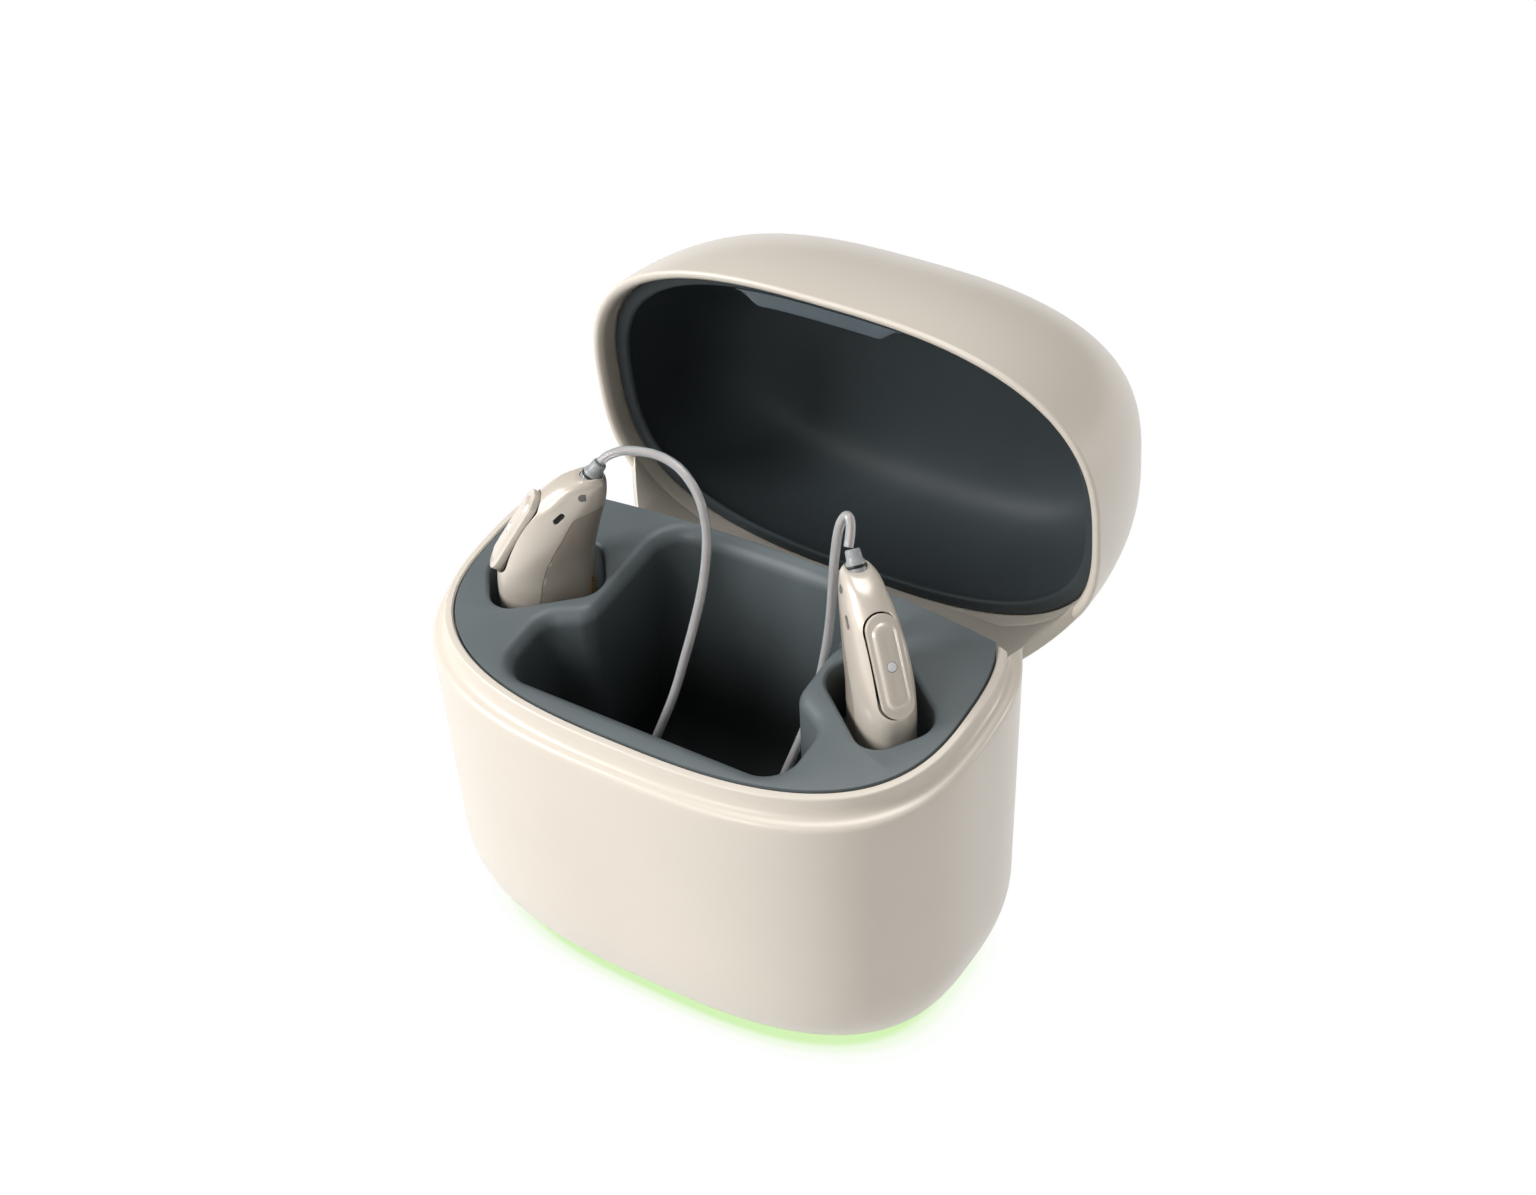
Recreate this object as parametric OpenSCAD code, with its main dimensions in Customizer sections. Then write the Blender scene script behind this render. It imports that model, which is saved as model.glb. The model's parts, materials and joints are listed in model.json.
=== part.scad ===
/* [Case] */
// Width of the case
case_w = 83; // [78:1:90]
// Depth of the case
case_d = 54.6; // [53:0.2:60]
// Height of the middle of the deck above the table
deck_h = 54; // [50:1:60]
// Slope of the deck, higher at the back, in degrees
deck_slope = 8; // [6:0.5:9]
// Squareness of the case seen from above, 2 is an ellipse
plan_power = 2.75; // [2.4:0.05:3.2]
// Thickness of the case's wall
wall = 2.4; // [2:0.1:2.8]
// Sideways size of the round bottom edge
foot_round_w = 10; // [8:0.5:12]
// Height of the round bottom edge
foot_round_h = 15; // [12:0.5:18]
// How much narrower each side is at the bottom than at the top
draft = 0.5; // [0:0.1:1]
// Height of the shell's underside above the table
foot_gap = 0.9; // [0.7:0.1:1.2]

/* [Neck] */
// Depth of the shoulder below the deck
shoulder_drop = 3.05; // [2.8:0.05:3.6]
// Distance of the neck's outer face from the case's face
neck_inset = 1.9; // [1.8:0.05:2.1]
// Width of the neck's flat top
neck_w = 1.15; // [0.9:0.05:1.3]
// Gap round the deck
deck_gap = 0.25; // [0.2:0.05:0.4]

/* [Deck] */
// Thickness of the deck and of its floors
deck_t = 2; // [1.6:0.1:2.1]
// Distance of the deck's middle in front of the case's middle
deck_forward = 0.8; // [0:0.1:1.2]
// Distance from the case's back face to the deck's back edge
deck_back_inset = 12.45; // [12.3:0.05:12.9]
// Radius of the deck's gently bowed back edge
deck_back_round = 250; // [200:10:400]
// Wall of the hollow and of the wells
pocket_wall = 1.2; // [1:0.1:1.4]
// Distance from the case's side to the side of the hollow's front lobes
hollow_side_inset = 18.7; // [18.5:0.1:20]
// How much narrower each side of the hollow is at its waist
waist_step = 5.8; // [5.8:0.1:7]
// Distance from the case's front face to the hollow's front wall
hollow_front_inset = 6.3; // [6.1:0.1:6.9]
// Distance from the hollow's back wall to the deck's back edge
hollow_behind = 2.45; // [2.3:0.05:3]
// Height of the hollow's floor above the table
hollow_floor = 20; // [19:0.5:22]
// Distance from the case's side to a well's middle
well_side_inset = 14.2; // [13.9:0.1:14.5]
// Distance of a well's middle in front of the deck's middle
well_forward = 2.4; // [2:0.1:2.8]
// Turn of the wells seen from above, in degrees
well_turn = 38; // [36:1:40]

/* [Lid] */
// Height of the lid above its lower edge
lid_h = 34; // [32:0.5:37]
// Fullness of the lid's dome, 2 is an ellipse
lid_power = 3.4; // [3:0.05:3.7]
// Wall of the lid
lid_wall = 2; // [1.8:0.1:2.2]
// Thickness of the dark liner
liner_t = 1.4; // [1.2:0.1:1.6]
// Width of the liner's flat edge
liner_edge_w = 2.1; // [1.9:0.1:2.4]
// Distance from the case's side to the flap that hangs from the lid at the back
flap_side_inset = 8.7; // [8.5:0.1:10]
// Turn of the lid from shut to open, in degrees
lid_turn = 92; // [88:1:94]

/* [Hinge] */
// Distance from the case's back face to the hinge's axis
hinge_inset = 6.8; // [6.6:0.1:7]
// Depth of the hinge's axis below the middle of the deck
hinge_drop = 12.2; // [11.6:0.1:12.8]
// Radius of the hinge pin
pin_r = 0.9; // [0.8:0.05:1]
// Radius of the knuckles and ears
knuckle_r = 2; // [1.8:0.05:2]
// Width of one ear of the frame
ear_w = 4; // [3:0.5:5]
// Distance from the flap's land to the last ear
ear_side_gap = 4; // [3.5:0.5:7]

/* [Hearing aids] */
// Length of an aid from its foot to its top
aid_h = 25.2; // [24.6:0.1:26]
// Length of an aid from its spine to its inner side
aid_l = 13.8; // [13.4:0.1:14]
// Thickness of an aid
aid_t = 8; // [7.6:0.1:8.2]
// Depth of an aid's foot below the deck
aid_sink = 9; // [8.5:0.1:9.4]
// Wall of an aid
aid_wall = 0.9; // [0.7:0.05:1]
// Length of the rocker button
rocker_l = 13.8; // [13:0.1:14.2]
// Width of the rocker button
rocker_w = 4.4; // [4.2:0.1:4.6]
// Thickness of the tube
tube_d = 1.3; // [1:0.05:1.4]

/* [Hidden] */

$fn = 48;
// Overrun of cuts
over = 1;
// Gap between pieces that seat on each other, a fine gap and a screw's gap in its thread
seat = 0.25;
fine_gap = 0.1;
thread_gap = 0.05;
// Points round the case and round an aid
plan_count = 72;
aid_count = 32;
// Colours, as the photo shows them
ivory = [0.91, 0.88, 0.82];
taupe = [0.62, 0.57, 0.51];
slate = [0.40, 0.45, 0.48];
rubber_grey = [0.25, 0.26, 0.27];
steel = [0.75, 0.76, 0.78];
gold = [0.85, 0.65, 0.3];
board_green = [0.1, 0.35, 0.2];
glow_green = [0.6, 0.95, 0.5];
clear_grey = [0.8, 0.82, 0.83];

// The flap's sides round off before its flat land
flap_land_inset = 6.8;
// Shape of the case
half_w = case_w / 2;
half_d = case_d / 2;
deck_y = -deck_forward;
back_y = half_d - deck_back_inset;
hollow_half_w = half_w - hollow_side_inset;
waist_half_w = hollow_half_w - waist_step;
hollow_front = half_d - hollow_front_inset - deck_forward;
hollow_back = back_y - hollow_behind - deck_y;
well_x = half_w - well_side_inset;
hinge_y = half_d - hinge_inset;
hinge_z = deck_h - hinge_drop;
flap_half_w = half_w - flap_side_inset;
land_half_w = flap_half_w - flap_land_inset;
ear_space = land_half_w - ear_side_gap - ear_w * 1.5;
function deck_z(y) = deck_h + (y - deck_y) * tan(deck_slope);
function plan_point(ax, by, power, t) =
    let (c = cos(t), s = sin(t), m = pow(pow(abs(c), power) + pow(abs(s), power), -1 / power))
    [ax * m * c, by * m * s];
function plan(inset, count = plan_count) =
    [for (i = [0:count - 1]) plan_point(half_w - inset, half_d - inset, plan_power, 360 * i / count)];
// A ring of points at one height, and one at a depth below the sloping deck
function flat_ring(inset, z) = [for (p = plan(inset)) [p.x, p.y, z]];
function deck_ring(inset, drop) = [for (p = plan(inset)) [p.x, p.y, deck_z(p.y) - drop]];

// A closed solid through rings of equal count
module loft(rings) {
    n = len(rings[0]);
    sides = [for (i = [0:len(rings) - 2], j = [0:n - 1])
        let (k = (j + 1) % n, a = i * n + j, b = i * n + k, c = a + n, d = b + n)
        each [[a, c, d], [a, d, b]]];
    caps = [[for (j = [0:n - 1]) j], [for (j = [n - 1:-1:0]) (len(rings) - 1) * n + j]];
    polyhedron([for (r = rings) each r], concat(sides, caps));
}

// Everything lower than a depth below the deck
module below_deck(drop) {
    reach = case_w + case_d;
    translate([0, deck_y, deck_h - drop]) rotate([deck_slope, 0, 0])
        translate([-reach, -reach, -reach * 2]) cube(reach * 2);
}

module stadium(length, width) {
    square([length - width, width], center = true);
    for (side = [-1, 1]) translate([side * (length - width) / 2, 0]) circle(d = width);
}

// Shoulder, neck and the ledge that carries the deck
shoulder_round = 0.85;
neck_round = 0.25;
neck_below_deck = 0.1;
neck_inner = neck_inset + neck_w;
ledge_w = 1.5;
ledge_t = 2;
ledge_drop = deck_t + seat;
flare_h = shoulder_drop / 2;
shoulder_shares = [0.15, 0.5];
neck_in_shares = [0.71, 0.9];
neck_up_shares = [0.18, 0.5];

function neck_rings() = [
    deck_ring(0, shoulder_drop + shoulder_round),
    deck_ring(shoulder_round * shoulder_shares[0], shoulder_drop + shoulder_round * shoulder_shares[1]),
    deck_ring(shoulder_round * shoulder_shares[1], shoulder_drop + shoulder_round * shoulder_shares[0]),
    deck_ring(shoulder_round, shoulder_drop),
    deck_ring(neck_inset * neck_in_shares[0], shoulder_drop - flare_h * neck_up_shares[0]),
    deck_ring(neck_inset * neck_in_shares[1], shoulder_drop - flare_h * neck_up_shares[1]),
    deck_ring(neck_inset, shoulder_drop - flare_h),
    deck_ring(neck_inset, neck_below_deck + neck_round),
    deck_ring(neck_inset + neck_round, neck_below_deck),
    deck_ring(neck_inner, neck_below_deck),
    deck_ring(neck_inner, ledge_drop),
    deck_ring(neck_inner + ledge_w, ledge_drop),
    deck_ring(neck_inner + ledge_w, ledge_drop + ledge_t),
    deck_ring(wall, ledge_drop + ledge_t * 2)];

// The notch at the back that the lid's flap fills
notch_gap = 0.5;
notch_half_w = flap_half_w + notch_gap;
notch_round = 7;
flap_reach = half_d - hinge_y;
notch_z = hinge_z - flap_reach - notch_gap;
notch_front = back_y - deck_t;

module notch_outline(grow) {
    top = deck_h + case_d;
    offset(r = notch_round) offset(delta = -notch_round)
        translate([-notch_half_w - grow, notch_z - grow])
            square([(notch_half_w + grow) * 2, top - notch_z + grow]);
}

// The notch opens outward at the top, so the lid's rim drops at the back corners
flare_w = 9;
flare_up = 7.8;
flare_turn = 18;
module notch_flare(grow) for (side = [0, 1]) mirror([side, 0, 0])
    translate([notch_half_w, notch_front, hinge_z + flare_up]) rotate(-flare_turn)
        translate([0, case_d - grow, 0]) rotate([90, 0, 0]) linear_extrude(case_d)
            polygon([[-flare_w, -flare_w - grow * sqrt(2)], [flare_w, flare_w - grow * sqrt(2)],
                [flare_w, deck_h], [-flare_w, deck_h]]);

// The USB port in the back wall
usb_w = 9;
usb_t = 3.2;
usb_l = 7.4;
usb_gap = 0.2;
usb_wall = 0.35;
board_t = 1.2;
board_lift = 2.8;
plate_t = 2.1;
board_z = foot_gap + plate_t + board_lift;
usb_z = board_z + board_t + usb_t / 2 + seat;
usb_set_back = 1.15;
usb_mouth = half_d - usb_set_back;

module base_shell() color(ivory) difference() {
    loft(concat(
        [for (u = [0:10:90]) flat_ring(foot_round_w * (1 - sin(u)) + draft,
            foot_gap + foot_round_h * (1 - cos(u)))],
        neck_rings(),
        [for (u = [90:-18:0]) flat_ring(wall + draft + (foot_round_w - draft) * (1 - sin(u)),
            foot_gap + wall + (foot_round_h - wall) * (1 - cos(u)))]));
    translate([0, notch_front, 0]) rotate([90, 0, 180]) linear_extrude(case_d) notch_outline(0);
    notch_flare(0);
    translate([0, 0, -over]) linear_extrude(foot_gap + wall + over * 2) polygon(plan(light_inset));
    translate([0, 0, usb_z]) rotate([-90, 0, 0]) linear_extrude(case_d)
        stadium(usb_w + usb_gap * 2, usb_t + usb_gap * 2);
    translate([0, 0, hollow_floor]) linear_extrude(deck_h) intersection() {
        polygon(plan(neck_inner));
        union() {
            well_outline(pocket_wall + deck_gap);
            hollow_outline(pocket_wall + deck_gap);
        }
    }
}

// The foot: light ring, plate and rubber pad
light_gap = 0.15;
light_inset = foot_round_w + draft + fine_gap;
light_w = 1.4;
light_h = 2;
light_z = foot_gap * 0.5;
plate_inset = light_inset + light_w + light_gap * 2;
pad_margin = 0.5;
pad_inset = plate_inset + pad_margin;
pad_sink = 0.4;
pad_t = foot_gap + pad_sink;

module light_ring() color(glow_green) translate([0, 0, light_z]) linear_extrude(light_h) difference() {
    polygon(plan(light_inset + light_gap));
    polygon(plan(light_inset + light_gap + light_w));
}

// Four posts that reach down from the deck take the plate's screws
post_r = 2.4;
post_shares = [2.4, 3.4, 1.6, 0.4];
post_places = [for (side = [-1, 1]) each [
    [side * (waist_half_w - post_r * post_shares[0]), hollow_back - post_r * post_shares[1] - deck_forward],
    [side * (hollow_half_w - post_r * post_shares[2]), -hollow_front * post_shares[3] - deck_forward]]];
post_foot = foot_gap + plate_t + seat;
screw_r = 0.8;
screw_head_r = 1.6;
screw_head_t = 0.8;
screw_l = 8;

module base_plate() color(slate) difference() {
    union() {
        translate([0, 0, foot_gap]) linear_extrude(plate_t) polygon(plan(plate_inset));
        for (p = board_places) translate([p.x, p.y, foot_gap])
            cylinder(r = post_r, h = plate_t + board_lift - seat);
    }
    translate([0, 0, -over]) linear_extrude(pad_t + seat + over) polygon(plan(pad_inset - light_gap));
    for (p = post_places) translate([p.x, p.y, 0]) {
        cylinder(r = screw_r + fine_gap, h = foot_gap + plate_t + over);
        cylinder(r = screw_head_r + fine_gap, h = pad_t + fine_gap + screw_head_t);
    }
}

module rubber_foot() color(rubber_grey) linear_extrude(pad_t) polygon(plan(pad_inset));

module plate_screws() color(steel) for (p = post_places) translate([p.x, p.y, pad_t + fine_gap]) {
    cylinder(r = screw_head_r, h = screw_head_t);
    cylinder(r = screw_r - thread_gap, h = screw_l);
}

// Electronics in the base
board_side_inset = 18.5;
board_end_inset = 10.3;
board_w = case_w - board_side_inset * 2;
board_l = case_d - board_end_inset * 2;
tongue_w = 14;
tongue_l = 3;
board_rest_shares = [0.265, -0.06];
board_places = [for (side = [-1, 1], share = board_rest_shares) [side * board_w * 0.42, share * board_l]];
pack_side_gap = 0.84;
pack_rear = 7;
pack_w = (waist_half_w - post_r * 3.4 - pack_side_gap) * 2;
pack_l = board_l - pack_rear;
pack_t = 7.5;

module main_board() color(board_green) difference() {
    translate([0, 0, board_z]) linear_extrude(board_t) {
        square([board_w, board_l], center = true);
        translate([-tongue_w / 2, 0]) square([tongue_w, board_l / 2 + tongue_l]);
    }
    for (p = post_places) translate([p.x, p.y, board_z - over])
        cylinder(r = post_r + seat, h = board_t + over * 2);
}

module battery_pack() color(steel) translate([-pack_w / 2, -board_l / 2, board_z + board_t + seat])
    cube([pack_w, pack_l, pack_t]);

module usb_socket() color(steel) translate([0, usb_mouth, usb_z]) rotate([90, 0, 0]) difference() {
    linear_extrude(usb_l) stadium(usb_w, usb_t);
    translate([0, 0, -over]) linear_extrude(usb_l - usb_wall + over)
        stadium(usb_w - usb_wall * 2, usb_t - usb_wall * 2);
}

// The deck, with its hollow and its two wells
deck_inset = neck_inner + deck_gap;
hollow_round = 4.2;
lobe_back_share = 0.46;
waist_front_share = 0.30;
well_l = aid_l + 2.6;
well_w = aid_t + 3;
well_round = 3.6;
well_middle_shift = 0.5;
well_y = deck_y - well_forward * cos(deck_slope);
well_z = deck_z(well_y);
well_floor = well_z - aid_sink - seat;
ramp_reach = 6.5;

module deck_outline() intersection() {
    polygon(plan(deck_inset));
    union() {
        translate([0, back_y - deck_back_round]) circle(r = deck_back_round, $fn = 360);
        translate([-half_w, -half_d]) square([case_w, half_d]);
    }
}

module hollow_outline(grow = 0) translate([0, deck_y]) offset(r = grow)
    offset(r = -hollow_round) offset(r = hollow_round * 1.7) offset(delta = -hollow_round * 0.7)
    polygon([
        [-hollow_half_w, -hollow_front], [hollow_half_w, -hollow_front],
        [hollow_half_w, -hollow_front * lobe_back_share], [waist_half_w, -hollow_front * waist_front_share],
        [waist_half_w, hollow_back], [-waist_half_w, hollow_back],
        [-waist_half_w, -hollow_front * waist_front_share],
        [-hollow_half_w, -hollow_front * lobe_back_share]]);

module at_well(side) translate([side * well_x, well_y])
    rotate(side > 0 ? -well_turn : 180 + well_turn) children();

module well_outline(grow = 0) for (side = [-1, 1]) at_well(side) offset(r = grow)
    translate([-well_middle_shift, 0]) offset(r = well_round)
        square([well_l - well_round * 2, well_w - well_round * 2], center = true);

module deck() color(slate) difference() {
    intersection() {
        union() {
            difference() {
                linear_extrude(deck_h * 2) deck_outline();
                below_deck(deck_t);
            }
            translate([0, 0, hollow_floor - deck_t]) linear_extrude(deck_h) intersection() {
                hollow_outline(pocket_wall);
                deck_outline();
            }
            translate([0, 0, well_floor - deck_t]) linear_extrude(deck_h) intersection() {
                well_outline(pocket_wall);
                deck_outline();
            }
            translate([0, 0, notch_z]) linear_extrude(deck_h) intersection() {
                deck_outline();
                translate([-flap_half_w, notch_front]) square([flap_half_w * 2, half_d]);
            }
            for (p = post_places) translate([p.x, p.y, post_foot])
                cylinder(r = post_r, h = hollow_floor - post_foot);
        }
        below_deck(0);
    }
    difference() {
        translate([0, 0, hollow_floor]) linear_extrude(deck_h) hollow_outline();
        hollow_ramp();
    }
    translate([0, 0, well_floor]) linear_extrude(deck_h) well_outline();
    for (side = [-1, 1]) translate([0, 0, well_floor - deck_t - over]) linear_extrude(deck_t + over * 2)
        at_well(side) pin_places() circle(r = charge_pin_r + pin_gap);
    for (p = post_places) translate([p.x, p.y, post_foot - over]) cylinder(r = screw_r, h = screw_l + over);
    for (side = [-1, 1]) translate([side * frame_screw_x, back_y - blind_depth, frame_screw_z])
        rotate([-90, 0, 0]) cylinder(r = screw_r, h = deck_t + over);
}

// The hollow's back wall slopes forward as it goes down
module hollow_ramp() {
    back = deck_y + hollow_back + over;
    top = deck_h;
    steps = 8;
    points = [for (i = [0:steps]) let (t = 90 * i / steps)
        [back - over - ramp_reach * (1 - cos(t)), top - (top - hollow_floor) * sin(t)]];
    translate([half_w, 0, 0]) rotate([90, 0, -90]) linear_extrude(case_w)
        polygon([for (p = concat(points, [[back, hollow_floor - over], [back, top]])) [-p.x, p.y]]);
}

// Hinge: a frame with three ears on the deck's back, a pin, two springs and the lid's arm
frame_margin = 1;
frame_half_w = ear_w * 1.5 + ear_space + frame_margin;
frame_t = 1.2;
frame_front = back_y + fine_gap;
frame_h = 9;
frame_z = hinge_z - knuckle_r * 0.8;
frame_screw_x = ear_w / 2 + ear_space / 2;
frame_screw_up = 3;
frame_screw_z = hinge_z + knuckle_r + frame_screw_up;
blind_depth = deck_t * 0.9;
ear_gap = 0.2;
pin_gap = 0.05;
pin_out = 5;

module across(x, r, length) translate([x, hinge_y, hinge_z]) rotate([0, 90, 0])
    cylinder(r = r, h = length, center = true);

module hinge_frame() color(steel) difference() {
    union() {
        translate([-frame_half_w, frame_front, frame_z]) cube([frame_half_w * 2, frame_t, frame_h]);
        for (i = [-1:1]) {
            across(i * (ear_w + ear_space), knuckle_r, ear_w);
            translate([i * (ear_w + ear_space) - ear_w / 2, frame_front, frame_z])
                cube([ear_w, hinge_y - frame_front, knuckle_r * 1.8]);
        }
    }
    across(0, pin_r + pin_gap * 0.4, case_w);
    for (side = [-1, 1]) translate([side * frame_screw_x, frame_front - over, frame_screw_z])
        rotate([-90, 0, 0]) cylinder(r = screw_r + fine_gap, h = frame_t + over * 2);
}

module frame_screws() color(steel) for (side = [-1, 1])
    translate([side * frame_screw_x, frame_front + frame_t + screw_head_t, frame_screw_z]) rotate([90, 0, 0]) {
        cylinder(r = screw_head_r, h = screw_head_t);
        cylinder(r = screw_r - thread_gap, h = screw_head_t + frame_t + blind_depth);
    }

pin_l = (ear_w * 1.5 + ear_space + pin_out) * 2;
module hinge_pin() color(steel) across(0, pin_r, pin_l);

// Each spring is one helix of round wire about the pin
spring_wire = 0.5;
spring_mean_r = pin_r + spring_wire / 2 + seat;
spring_turns = 3;
spring_pitch = 0.95;
spring_steps = 8;
function spring_point(i) = let (t = 360 * i / spring_steps)
    [spring_pitch * i / spring_steps, spring_mean_r * cos(t), spring_mean_r * sin(t)];
echo(spring_gap = spring_pitch - spring_wire);

module hinge_springs() color(steel) for (side = [0, 1])
    translate([0, hinge_y, hinge_z]) mirror([side, 0, 0])
        translate([ear_w * 1.5 + ear_space + spring_wire, 0, 0])
            tube([for (i = [0:spring_turns * spring_steps]) spring_point(i)], spring_wire, 6);

// A swept tube through points: its rings keep square to the route
function unit(v) = v / norm(v);
function run(p, i) = unit(p[min(i + 1, len(p) - 1)] - p[max(i - 1, 0)]);
function turned(n, t) = unit(n - t * (n * t));
function frames(p, i = 0, n = [0, 0, 1]) = i == len(p) ? [] :
    let (t = run(p, i), m = turned(n, t))
    concat([[m, cross(t, m)]], frames(p, i + 1, m));
module tube(points, d, sides) {
    start = abs(run(points, 0).z) > 0.9 ? [1, 0, 0] : [0, 0, 1];
    f = frames(points, 0, start);
    loft([for (i = [0:len(points) - 1]) [for (j = [0:sides - 1])
        points[i] + d / 2 * (cos(360 * j / sides) * f[i][0] + sin(360 * j / sides) * f[i][1])]]);
}

// A steel plate behind the front wall holds the lid's magnet
catch_w = 16;
catch_h = 4;
catch_t = 1.8;
module catch_plate() color(steel) translate([-catch_w / 2, deck_y - hollow_front - pocket_wall - seat - catch_t,
    deck_z(-half_d) - ledge_drop - ledge_t * 2 - catch_h]) cube([catch_w, catch_t, catch_h]);

// The lid is drawn shut and then turned open about the hinge
module opened() translate([0, hinge_y, hinge_z]) rotate([-lid_turn, 0, 0])
    translate([0, -hinge_y, -hinge_z]) children();

lid_gap = 0.3;
rim_drop = shoulder_drop - lid_gap;
rim_round = 0.5;
rim_step = 0.05;
neck_clearance = 0.35;
rim_w = neck_inset - neck_clearance;
liner_recess = 3.4;
liner_drop = rim_drop - liner_recess;
liner_flange_t = 0.9;
liner_edge_round = 0.5;
liner_clearance = 0.35;
liner_out = lid_wall + liner_clearance;
liner_in = liner_out + liner_t;
flange_inset = rim_w + seat;

// One ring of the dome, a thickness inside the outer face
function dome_ring(thick, u) =
    let (ax = half_w - thick, by = half_d - thick, c = pow(cos(u), 2 / lid_power),
        ring_b = by * c, ring_a = ax - by * (1 - c) * (1 + (ax / by - 1) * pow(1 - c, 2)))
    [for (i = [0:plan_count - 1])
        let (p = plan_point(ring_a, ring_b, plan_power, 360 * i / plan_count))
        [p.x, p.y, deck_z(p.y) - rim_drop + (lid_h - thick) * sin(u)]];
// The angle at which a dome reaches a depth below the deck
function dome_start(thick, drop) = asin((rim_drop - drop) / (lid_h - thick));
dome_top_angle = 86;
dome_steps = 9;
function dome_rings(thick, from) =
    [for (i = [0:dome_steps]) dome_ring(thick, from + (dome_top_angle - from) * i / dome_steps)];
rim_shares = [0.8, 0.85, 0.4, 1.6, 0.3];
function reversed(list) = [for (i = [len(list) - 1:-1:0]) list[i]];

module lid_shell() color(ivory) opened() {
    seat_drop = liner_drop - liner_flange_t - seat;
    loft(concat(
        reversed(dome_rings(lid_wall, dome_start(lid_wall, seat_drop - fine_gap))),
        [deck_ring(liner_out, seat_drop),
            deck_ring(rim_w, seat_drop),
            deck_ring(rim_w, rim_drop - flare_h * rim_shares[0]),
            deck_ring(rim_w * rim_shares[1], rim_drop - flare_h * rim_shares[2]),
            deck_ring(rim_round * rim_shares[3], rim_drop - rim_step),
            deck_ring(rim_round, rim_drop),
            deck_ring(rim_round * rim_shares[4], rim_drop - rim_round * rim_shares[2])],
        dome_rings(0, dome_start(0, rim_drop - rim_round))));
    difference() {
        flap();
        for (side = [-1, 1]) translate([side * arm_screw_x, land_y - over, hinge_z + arm_screw_up])
            rotate([-90, 0, 0]) cylinder(r = screw_r, h = blind_depth + over);
    }
}

// The flap carries on the case's back wall down to the hinge, with a flat land for the arm
flap_t = 1.6;
flap_drop = 3.2;
flap_inset = 0.05;
land_y = hinge_y + knuckle_r + fine_gap;
module flap() intersection() {
    difference() {
        linear_extrude(deck_h * 2) polygon(plan(flap_inset));
        difference() {
            translate([0, 0, -over]) linear_extrude(deck_h * 3) polygon(plan(flap_t));
            translate([-land_half_w, land_y, -over * 2]) cube([land_half_w * 2, half_d, deck_h * 3]);
        }
        across(0, spring_mean_r + spring_wire / 2 + seat, pin_l + over * 2);
    }
    union() {
        rotate([90, 0, 180]) linear_extrude(case_d) difference() {
            notch_outline(-notch_gap);
            translate([-half_w, 0]) square([case_w, hinge_z - flap_drop]);
        }
        notch_flare(-notch_gap);
    }
    below_deck(rim_drop - rim_round * 2);
}

module lid_liner() color(slate) opened() loft(concat(
    reversed(dome_rings(liner_in, dome_start(liner_in, liner_drop - liner_flange_t))),
    [deck_ring(flange_inset + liner_edge_w, liner_drop - liner_edge_round),
        deck_ring(flange_inset + liner_edge_w - liner_edge_round * 0.7, liner_drop),
        deck_ring(flange_inset, liner_drop),
        deck_ring(flange_inset, liner_drop - liner_flange_t),
        deck_ring(liner_out + liner_edge_round * 0.8, liner_drop - liner_flange_t)],
    dome_rings(liner_out, dome_start(liner_out, liner_drop - liner_flange_t - liner_edge_round * 0.6))));

// A cover at the liner's front edge holds the magnet
cover_w = 24;
cover_inset = flange_inset + liner_edge_w + seat * 2.6;
cover_t = 2.3;
cover_h = 3.4;
cover_drop = liner_drop - 0.2;
magnet_w = 16;
magnet_t = 1.2;
magnet_h = 2;
magnet_up = 0.5;

module front_band(w, inset, t, drop, h) intersection() {
    linear_extrude(deck_h * 2) difference() {
        polygon(plan(inset));
        polygon(plan(inset + t));
    }
    translate([-w / 2, -half_d, 0]) cube([w, half_d / 2, deck_h * 2]);
    difference() {
        below_deck(drop);
        below_deck(drop + h);
    }
}

module magnet_cover() color(slate) opened() difference() {
    front_band(cover_w, cover_inset, cover_t, cover_drop - cover_h, cover_h);
    front_band(magnet_w + seat * 2, cover_inset - over, magnet_t + seat + over,
        cover_drop - cover_h + magnet_up, magnet_h + seat * 2);
}

module lid_magnet() color(steel) opened()
    front_band(magnet_w, cover_inset + thread_gap, magnet_t, cover_drop - cover_h + magnet_up + seat, magnet_h);

arm_t = 1.7;
arm_h = 8;
arm_half_w = ear_w * 1.5 + ear_space;
module lid_hinge_arm() color(steel) opened() difference() {
    union() {
        translate([-arm_half_w, land_y - arm_t, hinge_z + knuckle_r + lid_gap])
            cube([arm_half_w * 2, arm_t, arm_h - knuckle_r - lid_gap]);
        for (side = [-1, 1]) {
            across(side * (ear_w + ear_space) / 2, knuckle_r, ear_space - ear_gap * 2);
            translate([side * (ear_w + ear_space) / 2 - ear_space / 2 + ear_gap, land_y - arm_t, hinge_z])
                cube([ear_space - ear_gap * 2, arm_t, knuckle_r + lid_gap * 2]);
        }
    }
    across(0, pin_r + pin_gap, case_w);
    for (side = [-1, 1]) translate([side * arm_screw_x, land_y - arm_t - over, hinge_z + arm_screw_up])
        rotate([-90, 0, 0]) cylinder(r = screw_r + fine_gap, h = arm_t + over * 2);
}

arm_screw_x = 12;
arm_screw_up = 5.6;
module arm_screws() color(steel) opened() for (side = [-1, 1])
    translate([side * arm_screw_x, land_y, hinge_z + arm_screw_up]) rotate([90, 0, 0]) {
        translate([0, 0, -blind_depth + fine_gap]) cylinder(r = screw_r - thread_gap, h = arm_t + blind_depth);
        translate([0, 0, arm_t]) cylinder(r = screw_head_r, h = screw_head_t);
    }

// Everything on the left is drawn in a well's own place and mirrored for the right
module on_side(side) mirror([side > 0 ? 1 : 0, 0, 0]) translate([-well_x, well_y, well_z])
    rotate(180 + well_turn) children();

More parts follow.
